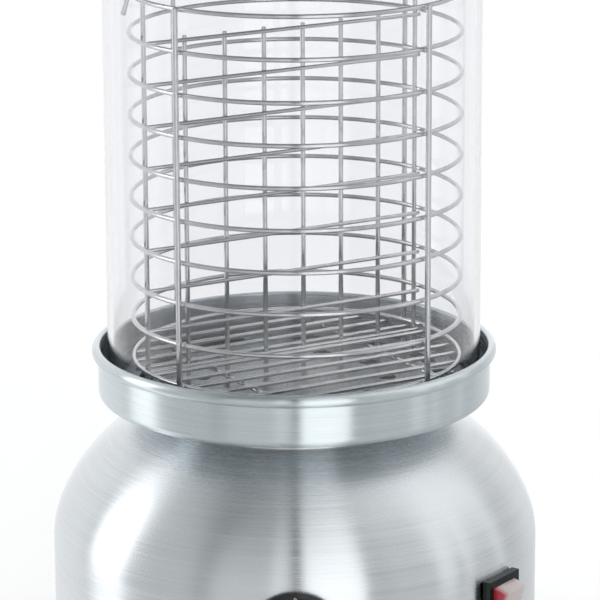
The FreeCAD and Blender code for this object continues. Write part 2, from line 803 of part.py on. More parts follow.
# Thermostat bracket: an angle screwed to the base plate.
bracket = new_body("thermostat_bracket")
bracket_back = bracket_front + s.bracket_thickness
bracket_high = s.control_height + s.bracket_above_axis
profile = new_sketch(bracket, "profile", "YZ_Plane")
draw(profile, [
    (bracket_front, plate_top),
    (bracket_back + s.bracket_foot, plate_top),
    (bracket_back + s.bracket_foot, bracket_top),
    (bracket_back, bracket_top),
    (bracket_back, bracket_high),
    (bracket_front, bracket_high),
])
pad(bracket, "angle", profile, s.bracket_width, both_ways=True)
hole = new_sketch(bracket, "neck_hole_outline", "XZ_Plane", (0, 0, bracket_distance))
draw_circle(hole, 0, s.control_height, s.neck_radius + s.screw_clearance)
pocket(bracket, "neck_hole", hole, s.bracket_thickness)
holes = new_sketch(bracket, "screw_hole_outline", "XY_Plane", (0, 0, bracket_top))
for spot in bracket_spots:
    draw_circle(holes, spot[0], spot[1], hole_radius)
pocket(bracket, "screw_holes", holes, s.bracket_thickness)
keep(bracket)

# Thermostat: a moulded box whose threaded neck passes through the bracket and guides the shaft.
thermostat = new_body("thermostat_body")
outline = new_sketch(thermostat, "outline", "XZ_Plane", (0, 0, -bracket_back))
draw_box(outline, -s.thermostat_width / 2, s.thermostat_width / 2,
         s.control_height - s.thermostat_tall / 2, s.control_height + s.thermostat_tall / 2)
pad(thermostat, "box", outline, s.thermostat_depth, reverse=True)
neck = new_sketch(thermostat, "neck_outline", "XZ_Plane", (0, 0, -bracket_back))
draw_circle(neck, 0, s.control_height, s.neck_radius)
pad(thermostat, "neck", neck, s.neck_length)
bore = new_sketch(thermostat, "bore_outline", "XZ_Plane", (0, 0, -bracket_back + s.neck_length))
draw_circle(bore, 0, s.control_height, s.shaft_radius + s.shaft_clearance)
pocket(thermostat, "bore", bore, s.neck_length + s.shaft_bearing)
keep(thermostat)
neck_nut = new_body("neck_nut")
outline = new_sketch(neck_nut, "outline", "XY_Plane")
draw(outline, hexagon(s.neck_nut_flats))
draw_circle(outline, 0, 0, s.neck_radius + s.thread_clearance)
pad(neck_nut, "hexagon", outline, s.neck_nut_height)
place(neck_nut, (0, bracket_front, s.control_height), 90, Vector(1, 0, 0))
keep(neck_nut)

# Sensor bulb in a pocket brazed to the tank's wall, and the capillary that joins it to the thermostat.
pocket_radius = s.bulb_radius + s.pocket_clearance + s.pocket_wall
bulb_circle = tank_radius + pocket_radius + s.pocket_clearance
bulb_x = bulb_circle * sin(s.bulb_azimuth)
bulb_y = -(bulb_circle * cos(s.bulb_azimuth))
tube = cylinder("pocket_tube", pocket_radius, s.pocket_length, (bulb_x, bulb_y, s.bulb_bottom_height))
tube_bore = cylinder("pocket_bore", s.bulb_radius + s.pocket_clearance, s.pocket_length,
                     (bulb_x, bulb_y, s.bulb_bottom_height))
keep(cut("bulb_pocket", tube, tube_bore))
bulb = cylinder("sensor_bulb", s.bulb_radius, s.bulb_length, (bulb_x, bulb_y, s.bulb_bottom_height))
keep(bulb)


def bent_wire(points, radius, bend_radius):
    """A round wire along straight runs joined by tangent arcs of one radius."""
    edges = []
    start = points[0]
    for before, here, after in zip(points, points[1:], points[2:]):
        into = (here - before).normalize()
        out = (after - here).normalize()
        half_turn = into.getAngle(out) / 2
        reach = bend_radius * math.tan(half_turn)
        first = here - into * reach
        last = here + out * reach
        middle = here + (out - into).normalize() * (bend_radius / math.cos(half_turn) - bend_radius)
        edges.append(Part.LineSegment(start, first).toShape())
        edges.append(Part.Arc(first, middle, last).toShape())
        start = last
    edges.append(Part.LineSegment(start, points[-1]).toShape())
    spine = Part.Wire(edges)
    ring = Part.Wire([Part.Circle(points[0], points[1] - points[0], radius).toShape()])
    return spine.makePipeShell([ring], True, True)


thermostat_rear = bracket_back + s.thermostat_depth
capillary_low = s.control_height - s.thermostat_tall / 4
capillary_out = thermostat_rear + s.capillary_bend * 1.5
capillary = doc.addObject("Part::Feature", "capillary_tube")
capillary.Shape = bent_wire([Vector(*[number(v) for v in p]) for p in (
    (-s.thermostat_width / 4, thermostat_rear, capillary_low),
    (-s.thermostat_width / 4, capillary_out, capillary_low),
    (bulb_x, capillary_out + s.capillary_bend, capillary_low),
    (bulb_x, bulb_y, s.bulb_bottom_height - s.capillary_bend * 2),
    (bulb_x, bulb_y, s.bulb_bottom_height),
)], number(s.capillary_radius), number(s.capillary_bend) / 2)
keep(capillary)

# Knob and its shaft, made standing and then turned to face the front.
knob = new_body("thermostat_knob")
skirt_top_radius = s.knob_skirt_radius - s.knob_skirt_taper
grip_top_radius = s.knob_grip_radius - s.knob_grip_taper
shaft_end = s.knob_gap + s.shaft_grip
revolve(knob, "turned_form", [
    (s.shaft_radius + s.shaft_clearance, s.knob_gap),
    (s.knob_skirt_radius, s.knob_gap),
    (s.knob_skirt_radius, s.knob_gap + s.knob_skirt_height / 2),
    (skirt_top_radius, s.knob_gap + s.knob_skirt_height),
    (s.knob_grip_radius, s.knob_gap + s.knob_skirt_height),
    (grip_top_radius, s.knob_height - s.knob_edge),
    (grip_top_radius - s.knob_edge, s.knob_height, s.knob_edge),
    (0, s.knob_height),
    (0, shaft_end),
    (s.shaft_radius + s.shaft_clearance, shaft_end),
])
flute = new_sketch(knob, "flute_outline", "XY_Plane", (0, 0, s.knob_gap + s.knob_skirt_height))
draw_circle(flute, s.knob_grip_radius + s.knob_flute_radius - s.knob_flute_depth, 0, s.knob_flute_radius)
flute_cut = pocket(knob, "flute", flute, s.knob_height, reverse=True)
repeat_round(knob, "flutes", flute_cut, s.knob_flute_count)
place(knob, (0, -s.housing_radius, s.control_height), 90, Vector(1, 0, 0))
keep(knob)
shaft = new_body("thermostat_shaft")
shaft_in = s.housing_radius - bracket_distance + s.bracket_thickness + s.shaft_bearing - s.shaft_clearance
outline = new_sketch(shaft, "outline", "XY_Plane", (0, 0, -shaft_in))
draw_circle(outline, 0, 0, s.shaft_radius)
pad(shaft, "rod", outline, shaft_in + shaft_end)
place(shaft, (0, -s.housing_radius, s.control_height), 90, Vector(1, 0, 0))
keep(shaft)

# Rocker switch frame: a bezel outside the wall and a hollow body behind it, made at the front, then turned.
frame = new_body("switch_frame")
bezel_back = s.housing_radius + s.bezel_gap
bezel_front = bezel_back + s.bezel_depth
z_mid = s.control_height
plane = new_sketch(frame, "bezel_outline", "XZ_Plane", (0, 0, bezel_back))
draw_box(plane, -s.bezel_width / 2, s.bezel_width / 2, z_mid - s.bezel_height / 2, z_mid + s.bezel_height / 2)
bezel = pad(frame, "bezel", plane, s.bezel_depth)
doc.recompute()
front_edges = []
for i, edge in enumerate(bezel.Shape.Edges):
    if all(abs(v.Point.y + bezel_front.value) < number(s.bezel_edge) / 10 for v in edge.Vertexes):
        front_edges.append(f"Edge{i + 1}")
chamfer = frame.newObject("PartDesign::Chamfer", "switch_frame_edge")
chamfer.Base = (bezel, front_edges)
bind(chamfer, Size=s.bezel_edge)
plane = new_sketch(frame, "body_outline", "XZ_Plane", (0, 0, bezel_back))
draw_box(plane, -s.switch_width / 2, s.switch_width / 2, z_mid - s.switch_tall / 2, z_mid + s.switch_tall / 2)
pad(frame, "body", plane, s.switch_depth, reverse=True)
pocket_half = s.rocker_width / 2 + s.rocker_side_clearance
pocket_tall = s.rocker_half_height + s.rocker_side_clearance
plane = new_sketch(frame, "well_outline", "XZ_Plane", (0, 0, bezel_front))
draw_box(plane, -pocket_half, pocket_half, z_mid - pocket_tall, z_mid + pocket_tall)
pocket(frame, "well", plane, s.switch_pocket_depth)
pivot_y = -(bezel_front - s.rocker_pivot_depth)
plane = new_sketch(frame, "pivot_outline", "YZ_Plane")
draw_circle(plane, pivot_y, z_mid, s.rocker_pin_radius + s.shaft_clearance)
pin_half = s.rocker_width / 2 + s.rocker_pin_length
pocket(frame, "pivot", plane, (pin_half + s.shaft_clearance) * 2, both_ways=True)
place(frame, turn=s.switch_azimuth)
keep(frame)

# Rocker: one moulded lever with a pivot pin at each side, at rest with its upper half out.
rocker = new_body("switch_rocker")


def tilted(out, up):
    """A point of the rocker's outline, given from the pivot before the tilt, in the sketch's own frame."""
    return (pivot_y - out * cos(s.rocker_tilt) - up * sin(s.rocker_tilt),
            z_mid + up * cos(s.rocker_tilt) - out * sin(s.rocker_tilt))


shape = new_sketch(rocker, "side_outline", "YZ_Plane")
draw(shape, [
    tilted(-s.rocker_rear, -s.rocker_rear_half),
    tilted(-s.rocker_rear, s.rocker_rear_half),
    tilted(0, s.rocker_half_height),
    tilted(s.rocker_stand, s.rocker_end_half),
    tilted(s.rocker_valley, 0),
    tilted(s.rocker_stand, -s.rocker_end_half),
    tilted(0, -s.rocker_half_height),
])
pad(rocker, "lever", shape, s.rocker_width, both_ways=True)
pin = new_sketch(rocker, "pin_outline", "YZ_Plane")
draw_circle(pin, pivot_y, z_mid, s.rocker_pin_radius)
pad(rocker, "pin", pin, pin_half * 2, both_ways=True)
place(rocker, turn=s.switch_azimuth)
keep(rocker)
blades = new_body("switch_terminals")
rear = -(bezel_back - s.switch_depth)
plane = new_sketch(blades, "outline", "XZ_Plane", (0, 0, -rear))
for i in range(int(number(s.blade_rows))):
    rise = z_mid + s.blade_pitch * (i - (int(number(s.blade_rows)) - 1) / 2)
    half_thick = s.blade_thickness / 2
    draw_box(plane, -s.blade_width / 2, s.blade_width / 2, rise - half_thick, rise + half_thick)
pad(blades, "blades", plane, s.blade_length, reverse=True)
place(blades, turn=s.switch_azimuth)
keep(blades)

# Mains inlet at the back: an empty gland with its nut, and the terminal block on the base plate.
gland = new_body("cord_gland")
revolve(gland, "turned_form", [
    (s.gland_entry_radius, -s.gland_barrel_length),
    (s.gland_barrel_radius, -s.gland_barrel_length),
    (s.gland_barrel_radius, s.bezel_gap),
    (s.gland_radius, s.bezel_gap),
    (s.gland_radius, s.gland_flange),
    (s.gland_nose_radius, s.gland_nose),
    (s.gland_bore_radius, s.gland_nose),
    (s.gland_bore_radius, s.gland_entry_end),
    (s.gland_entry_radius, s.gland_entry_end),
])
place(gland, (0, s.housing_radius, s.gland_height), -90, Vector(1, 0, 0))
keep(gland)
gland_nut = new_body("gland_nut")
outline = new_sketch(gland_nut, "outline", "XY_Plane")
draw(outline, hexagon(s.gland_nut_flats))
draw_circle(outline, 0, 0, s.gland_barrel_radius + s.thread_clearance)
pad(gland_nut, "hexagon", outline, s.gland_nut_height)
nut_half = s.gland_nut_flats / root(as_size(3.0))
nut_seat = root(inside * inside - nut_half * nut_half)
place(gland_nut, (0, nut_seat, s.gland_height), 90, Vector(1, 0, 0))
keep(gland_nut)
terminals = new_body("terminal_block")
outline = new_sketch(terminals, "outline", "XY_Plane", (0, 0, plate_top))
draw_box(outline, s.block_across - s.block_width / 2, s.block_across + s.block_width / 2,
         block_back - s.block_depth / 2, block_back + s.block_depth / 2)
pad(terminals, "block", outline, s.block_height)
ways = int(number(s.block_ways))
across = [s.block_across + s.block_pitch * (i - (ways - 1) / 2) for i in range(ways)]
tunnels = new_sketch(terminals, "tunnel_outline", "XZ_Plane", (0, 0, -(block_back - s.block_depth / 2)))
for x in across:
    draw_circle(tunnels, x, plate_top + s.block_height / 2, s.block_tunnel_radius)
pocket(terminals, "tunnels", tunnels, s.block_depth)
wells = new_sketch(terminals, "well_outline", "XY_Plane", (0, 0, plate_top + s.block_height))
for x in across:
    draw_circle(wells, x, block_back, s.block_well_radius)
pocket(terminals, "wells", wells, s.block_well_depth)
keep(terminals)

# Pan: a spun dish with a rolled rim on the tank's rim, with a throat that drains back into the tank.
pan = new_body("drip_pan")
pan_inside = pan_radius - s.pan_sheet
lip_low = pan_z + s.pan_wall_height
lip_wide = lip_low + s.pan_rim_under
lip_top = lip_wide + s.pan_rim_over
throat_out = throat_radius + s.pan_sheet
inner_bend = s.throat_bend
revolve(pan, "dish", [
    (throat_out, pan_z - s.throat_depth),
    (throat_out, pan_z - inner_bend),
    (throat_out + inner_bend, pan_z, -inner_bend),
    (pan_radius - s.pan_corner, pan_z),
    (pan_radius, pan_z + s.pan_corner, s.pan_corner),
    (pan_radius, lip_low),
    (pan_rim_radius, lip_wide, s.pan_rim_under_arc),
    (pan_radius + s.pan_rim_land - s.pan_sheet, lip_top, s.pan_rim_over_arc),
    (pan_inside, lip_top - s.pan_rim_land, s.pan_rim_land),
    (pan_inside, pan_z + s.pan_corner),
    (pan_radius - s.pan_corner, pan_floor_z, -(s.pan_corner - s.pan_sheet)),
    (throat_out + inner_bend, pan_floor_z),
    (throat_radius, pan_z - inner_bend, inner_bend + s.pan_sheet),
    (throat_radius, pan_z - s.throat_depth),
])
keep(pan)

# Steam plate: a pressed, slotted disc over the throat, on which the basket stands inside the glass.
steam_plate = new_body("steam_plate")
plate_edge = steam_plate_radius
plate_under = steam_plate_z - s.steam_plate_sheet
revolve(steam_plate, "disc", [
    (0, plate_under),
    (plate_edge - s.steam_plate_corner, plate_under),
    (plate_edge - s.steam_plate_sheet, plate_under - s.steam_plate_corner + s.steam_plate_sheet,
     -(s.steam_plate_corner - s.steam_plate_sheet)),
    (plate_edge - s.steam_plate_sheet, pan_floor_z),
    (plate_edge, pan_floor_z),
    (plate_edge, steam_plate_z - s.steam_plate_corner),
    (plate_edge - s.steam_plate_corner, steam_plate_z, s.steam_plate_corner),
    (0, steam_plate_z),
])
half_slot = s.steam_slot_angle / 2
slot = new_sketch(steam_plate, "slot_outline", "XY_Plane", (0, 0, steam_plate_z))
draw(slot, [
    (steam_slot_inner * cos(half_slot), -(steam_slot_inner * sin(half_slot)), -steam_slot_inner),
    (steam_slot_outer * cos(half_slot), -(steam_slot_outer * sin(half_slot))),
    (steam_slot_outer * cos(half_slot), steam_slot_outer * sin(half_slot), steam_slot_outer),
    (steam_slot_inner * cos(half_slot), steam_slot_inner * sin(half_slot)),
])
slot_cut = pocket(steam_plate, "slot", slot, s.steam_plate_sheet)
repeat_round(steam_plate, "slots", slot_cut, s.steam_slot_count)
hole = new_sketch(steam_plate, "hole_outline", "XY_Plane", (0, 0, steam_plate_z))
draw_circle(hole, steam_hole_circle, 0, s.steam_hole_radius)
hole_cut = pocket(steam_plate, "hole", hole, s.steam_plate_sheet)
repeat_round(steam_plate, "holes", hole_cut, s.steam_hole_count)
keep(steam_plate)

# Glass: an open cylinder with both edges fire-polished.
glass = new_body("glass_cylinder")
revolve(glass, "wall", [
    (glass_inside + s.glass_edge, pan_floor_z, s.glass_edge),
    (s.glass_radius - s.glass_edge, pan_floor_z),
    (s.glass_radius, pan_floor_z + s.glass_edge, s.glass_edge),
    (s.glass_radius, glass_top_z - s.glass_edge),
    (s.glass_radius - s.glass_edge, glass_top_z, s.glass_edge),
    (glass_inside + s.glass_edge, glass_top_z),
    (glass_inside, glass_top_z - s.glass_edge, s.glass_edge),
    (glass_inside, pan_floor_z + s.glass_edge),
])
keep(glass)

# Basket: ten rings, four uprights welded outside them, and a wire floor, a little right of the axis.
rings = new_body("basket_rings")
outline = new_sketch(rings, "wire_outline", "XZ_Plane")
draw_circle(outline, ring_radius, low_ring_z, s.ring_wire)
ring = rings.newObject("PartDesign::Revolution", "basket_rings_ring")
ring.Profile = outline
ring.ReferenceAxis = (outline, ["V_Axis"])
ring.Angle = 360
rows = rings.newObject("PartDesign::LinearPattern", "basket_rings_rows")
rows.Originals = [ring]
rows.Direction = (origin_part(rings, "Z_Axis"), [""])
bind(rows, Length=s.ring_pitch * (s.ring_count - 1), Occurrences=s.ring_count)
rings.Tip = rows
place(rings, (s.basket_shift, 0, 0))
keep(rings)
uprights = new_body("basket_uprights")
upright_circle = ring_radius + s.ring_wire + s.upright_wire - s.weld_sink
outline = new_sketch(uprights, "wire_outline", "XY_Plane", (0, 0, steam_plate_z))
upright_y = -(upright_circle * cos(s.upright_azimuth))
draw_circle(outline, upright_circle * sin(s.upright_azimuth), upright_y, s.upright_wire)
post = pad(uprights, "post", outline, top_ring_z - steam_plate_z + s.upright_above_ring)
repeat_round(uprights, "posts", post, s.upright_count)
place(uprights, (s.basket_shift, 0, 0))
keep(uprights)

# The floor's wires run along the divider, which passes midway between two; cross wires tie them below.
floor_z = low_ring_z - s.ring_wire - s.floor_wire + s.weld_sink
floor_reach = ring_radius + s.ring_wire - s.floor_end_inset


def lying_wire(name, radius, half, offset, height, along_x=True):
    """A straight wire lying level, centred on the basket's middle, at an offset from it."""
    wire = cylinder(name, radius, half * 2)
    if along_x:
        return place(wire, (-half, offset, height), 90, Vector(0, 1, 0))
    return place(wire, (offset, half, height), 90, Vector(1, 0, 0))


def half_chord(offset):
    return root(floor_reach * floor_reach - offset * offset)


side_wires = int((number(floor_reach) - number(s.divider_set_back)) // number(s.floor_pitch) + 0.5)
other_wires = int((number(floor_reach) + number(s.divider_set_back)) // number(s.floor_pitch) + 0.5)
floor_wires = []
for step in range(-other_wires, side_wires):
    offset = s.divider_set_back + s.floor_pitch * (step + 0.5)
    name = f"floor_wire_{step + other_wires}"
    floor_wires.append(lying_wire(name, s.floor_wire, half_chord(offset), offset, floor_z))
cross_z = floor_z - s.floor_wire * 2 + s.weld_sink
for side in (-1, 1):
    offset = s.cross_wire_offset * side
    name = f"cross_wire_{side + 1}"
    floor_wires.append(lying_wire(name, s.floor_wire, half_chord(offset), offset, cross_z, False))
place(group("basket_floor", floor_wires), (s.basket_shift, 0, 0), s.divider_angle)

# Divider: a flat welded grid that drops in across the basket and hooks over its top ring.
wire_low = steam_plate_z + s.divider_foot_clearance
last_wire = int(number(s.divider_wire_count)) - 1
end_circle = ring_radius - s.ring_wire - s.divider_wire - s.divider_ring_clearance
end_across = root(end_circle * end_circle - s.divider_set_back * s.divider_set_back)
divider_gap = end_across * 2 / last_wire
top_bar_z = top_ring_z - s.ring_pitch - s.divider_bar_drop
inner_wires = []
for i in range(1, last_wire):
    across = divider_gap * (i - last_wire / 2)
    tall = top_bar_z + s.divider_top_spare - wire_low
    spot = (across, s.divider_set_back, wire_low)
    inner_wires.append(cylinder(f"divider_wire_{i}", s.divider_wire, tall, spot))
place(group("divider_wires", inner_wires), (s.basket_shift, 0, 0), s.divider_angle)
bar_half = end_across + s.divider_bar_spare
bar_offset = s.divider_set_back - s.divider_wire - s.divider_bar_wire + s.weld_sink
bars = []
for i in range(int(number(s.ring_count)) - 1):
    height = low_ring_z + s.ring_pitch * i - s.divider_bar_drop
    bars.append(lying_wire(f"divider_bar_{i}", s.divider_bar_wire, bar_half, bar_offset, height))
place(group("divider_bars", bars), (s.basket_shift, 0, 0), s.divider_angle)

# The divider's end wires rise past the top ring, arch outward over it and come down outside it.
hook_radius = (s.divider_ring_clearance + s.hook_outer_clearance) / 2 + s.ring_wire + s.divider_wire
end_swing = Size(math.degrees(math.atan2(s.divider_set_back.value, end_across.value)),
                 f"(atan({s.divider_set_back.formula} / {end_across.formula}) / 1 deg)")
arch_z = top_ring_z + s.ring_wire + s.hook_clearance - (hook_radius - s.divider_wire)
arch_x = end_circle + hook_radius
leg_x = arch_x + hook_radius * cos(s.hook_lean)
leg_z = arch_z + hook_radius * sin(s.hook_lean)
for side, heading in (("right", s.divider_angle + end_swing), ("left", s.divider_angle - end_swing + 180)):
    hook = new_body(f"divider_hook_{side}")
    path = new_sketch(hook, "path", "XZ_Plane")
    draw(path, [
        (end_circle, wire_low),
        (end_circle, arch_z),
        (arch_x, arch_z + hook_radius, -hook_radius),
        (leg_x, leg_z, -hook_radius),
        (leg_x + s.hook_leg_length * sin(s.hook_lean), leg_z - s.hook_leg_length * cos(s.hook_lean)),
    ], closed=False)
    section = new_sketch(hook, "section", "XY_Plane", (0, 0, wire_low))
    draw_circle(section, end_circle, 0, s.divider_wire)
    pipe(hook, "wire", path, section)
    place(hook, (s.basket_shift, 0, 0), heading)
    keep(hook)

# Lid: a spun cover whose ledge rests on the glass and whose skirt drops round it, with a screwed knob.
lid = new_body("lid")
skirt_inside = s.glass_radius + s.lid_skirt_clearance
skirt_outside = skirt_inside + s.lid_sheet
ledge_z = glass_top_z + s.lid_sheet
dome_foot = skirt_outside - s.lid_ledge
lid_arc = (dome_foot * dome_foot + s.lid_rise * s.lid_rise) / (s.lid_rise * 2)
arc_low = ledge_z + s.lid_rise - lid_arc
hole_x = s.lid_screw_radius + s.screw_clearance
inner_arc = lid_arc - s.lid_sheet
inner_foot = root(inner_arc * inner_arc - (glass_top_z - arc_low) * (glass_top_z - arc_low))
revolve(lid, "cover", [
    (skirt_inside, glass_top_z - s.lid_skirt_height),
    (skirt_outside, glass_top_z - s.lid_skirt_height),
    (skirt_outside, ledge_z - s.lid_bend),
    (skirt_outside - s.lid_bend, ledge_z, s.lid_bend),
    (dome_foot, ledge_z),
    (hole_x, arc_low + root(lid_arc * lid_arc - hole_x * hole_x), lid_arc),
    (hole_x, arc_low + root(inner_arc * inner_arc - hole_x * hole_x)),
    (inner_foot, glass_top_z, -inner_arc),
    (skirt_outside - s.lid_bend, glass_top_z),
    (skirt_inside, ledge_z - s.lid_bend, -(s.lid_bend - s.lid_sheet)),
])
keep(lid)
lid_top = ledge_z + s.lid_rise
lid_under = arc_low + root(inner_arc * inner_arc - s.lid_screw_head_radius * s.lid_screw_head_radius)
shank_top = lid_top + s.lid_washer_thickness + s.lid_screw_grip
lid_knob = new_body("lid_knob")
knob_seat = s.lid_washer_thickness
knob_base = lid_top + knob_seat
cap_low = knob_base + s.lid_knob_height - s.lid_knob_cap_height
cap_arc = (s.lid_knob_radius * s.lid_knob_radius / s.lid_knob_cap_height + s.lid_knob_cap_height) / 2
knob_thread = s.lid_screw_radius + s.lid_thread_clearance
revolve(lid_knob, "turned_form", [
    (knob_thread, knob_base),
    (s.lid_knob_base_radius, knob_base),
    (s.lid_knob_base_radius, knob_base + s.lid_knob_base_height / 2),
    (s.lid_knob_waist_radius, knob_base + s.lid_knob_base_height),
    (s.lid_knob_radius, cap_low, -(s.lid_knob_height - s.lid_knob_base_height)),
    (0, knob_base + s.lid_knob_height, cap_arc),
    (0, knob_base + s.lid_screw_grip),
    (knob_thread, knob_base + s.lid_screw_grip),
])
keep(lid_knob)
washer = cylinder("washer_disc", s.lid_washer_radius, s.lid_washer_thickness, (0, 0, lid_top))
washer_cut = s.lid_washer_thickness + s.overrun * 2
washer_hole = cylinder("washer_hole", hole_x, washer_cut, (0, 0, lid_top - s.overrun))
keep(cut("lid_washer", washer, washer_hole))
lid_screw_head = cylinder("lid_screw_head", s.lid_screw_head_radius, s.lid_screw_head_height,
                          (0, 0, lid_under - s.lid_screw_head_height))
lid_screw_shank = cylinder("lid_screw_shank", s.lid_screw_radius, shank_top - lid_under, (0, 0, lid_under))
keep(fuse("lid_screw", lid_screw_head, lid_screw_shank))

# Every object has to be sound before any piece is written.
doc.recompute()
for thing in doc.Objects:
    if "Invalid" in thing.State or "Error" in thing.State:
        raise RuntimeError(f"{thing.Name} failed: {thing.State}")
for thing in nodes:
    if thing.Shape.isNull() or not thing.Shape.isValid():
        raise RuntimeError(f"{thing.Label} has no valid shape")
for thing in nodes:
    thing.Shape.exportStep(f"parts/{thing.Label}.step")
    print(f"{thing.Label}: {len(thing.Shape.Solids)} solids, {thing.Shape.Volume:.0f} mm3")
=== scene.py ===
"""Looks of a counter-top hot dog steamer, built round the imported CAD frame.

Everything is in metres. +Z is up, the front with the knob faces -Y, and the table is Z = 0.
"""

import logging
import math
from dataclasses import dataclass
from enum import Enum
from functools import cached_property
from typing import Sequence

import bmesh
import bpy
from mathutils import Matrix, Vector


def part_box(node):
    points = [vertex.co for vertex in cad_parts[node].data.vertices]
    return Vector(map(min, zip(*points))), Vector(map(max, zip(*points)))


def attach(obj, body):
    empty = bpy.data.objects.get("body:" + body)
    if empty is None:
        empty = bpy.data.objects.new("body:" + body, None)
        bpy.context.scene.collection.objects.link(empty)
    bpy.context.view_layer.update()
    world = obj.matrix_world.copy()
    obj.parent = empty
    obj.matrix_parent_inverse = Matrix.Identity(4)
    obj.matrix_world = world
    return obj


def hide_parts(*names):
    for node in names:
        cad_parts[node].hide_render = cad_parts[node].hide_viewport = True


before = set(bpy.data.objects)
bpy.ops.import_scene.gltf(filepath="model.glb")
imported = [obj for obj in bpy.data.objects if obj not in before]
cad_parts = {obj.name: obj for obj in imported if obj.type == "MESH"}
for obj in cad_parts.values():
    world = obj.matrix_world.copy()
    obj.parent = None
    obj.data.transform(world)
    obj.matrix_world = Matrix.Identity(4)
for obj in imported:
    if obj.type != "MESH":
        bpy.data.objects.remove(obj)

Socket = bpy.types.NodeSocket
Triple = tuple[float, float, float]

LOG = logging.getLogger("steamer")
MM = 0.001
FULL_TURN = 2 * math.pi
QUARTER_TURN = math.pi / 2
MERGE_DISTANCE = 0.001 * MM
SEAM_DISTANCE = 0.01 * MM
SHARP_ANGLE = math.radians(32)
BEAD_SPREAD = 0.8  # how far beside a wire's middle its weld beads sit, as a share of its radius
NO_BOUNCE = 0.5  # under this gloss depth, nothing has thrown a ray back
ONE_GLASS_WALL = 2.5  # under this transmission depth, a ray has crossed one glass wall at most
WHITE = (1, 1, 1, 1)
ORIGIN = Vector((0, 0, 0))
ALONG_X = Vector((1, 0, 0))
ALONG_Y = Vector((0, 1, 0))
UP = Vector((0, 0, 1))


@dataclass(frozen=True)
class Corner:
    """A corner of an outline.

    Attributes:
        across: Distance from the axis.
        up: Height.
        radius: Radius of the arc that arrives here, positive where it turns left, 0 for a straight run.
        steps: Number of edges that the arc gets.
    """

    across: float
    up: float
    radius: float = 0.0
    steps: int = 8


def placed(name: str, data: bpy.types.ID) -> bpy.types.Object:
    """Puts an object with its data into the scene.

    Args:
        name: The object's name.
        data: Its mesh, curve or camera data.

    Returns:
        The object.
    """
    thing = bpy.data.objects.new(name, data)
    bpy.context.scene.collection.objects.link(thing)
    return thing


def evaluated(thing: bpy.types.Object) -> bpy.types.Mesh:
    """The mesh that an object comes out as."""
    return bpy.data.meshes.new_from_object(thing.evaluated_get(bpy.context.evaluated_depsgraph_get()))


def edges_of(verts: Sequence[bmesh.types.BMVert]) -> list[bmesh.types.BMEdge]:
    """The edges at some vertices."""
    return list(dict.fromkeys(e for v in verts for e in v.link_edges))


def spun(bm: bmesh.types.BMesh, geom: list, centre: Vector, axis: Vector, angle: float, steps: int,
         **options: bool) -> list:
    """Spins geometry about an axis and returns what it ends in."""
    return bmesh.ops.spin(bm, geom=geom, cent=centre, axis=axis, dvec=ORIGIN, angle=angle,
                          space=Matrix.Identity(4), steps=steps, **options)["geom_last"]


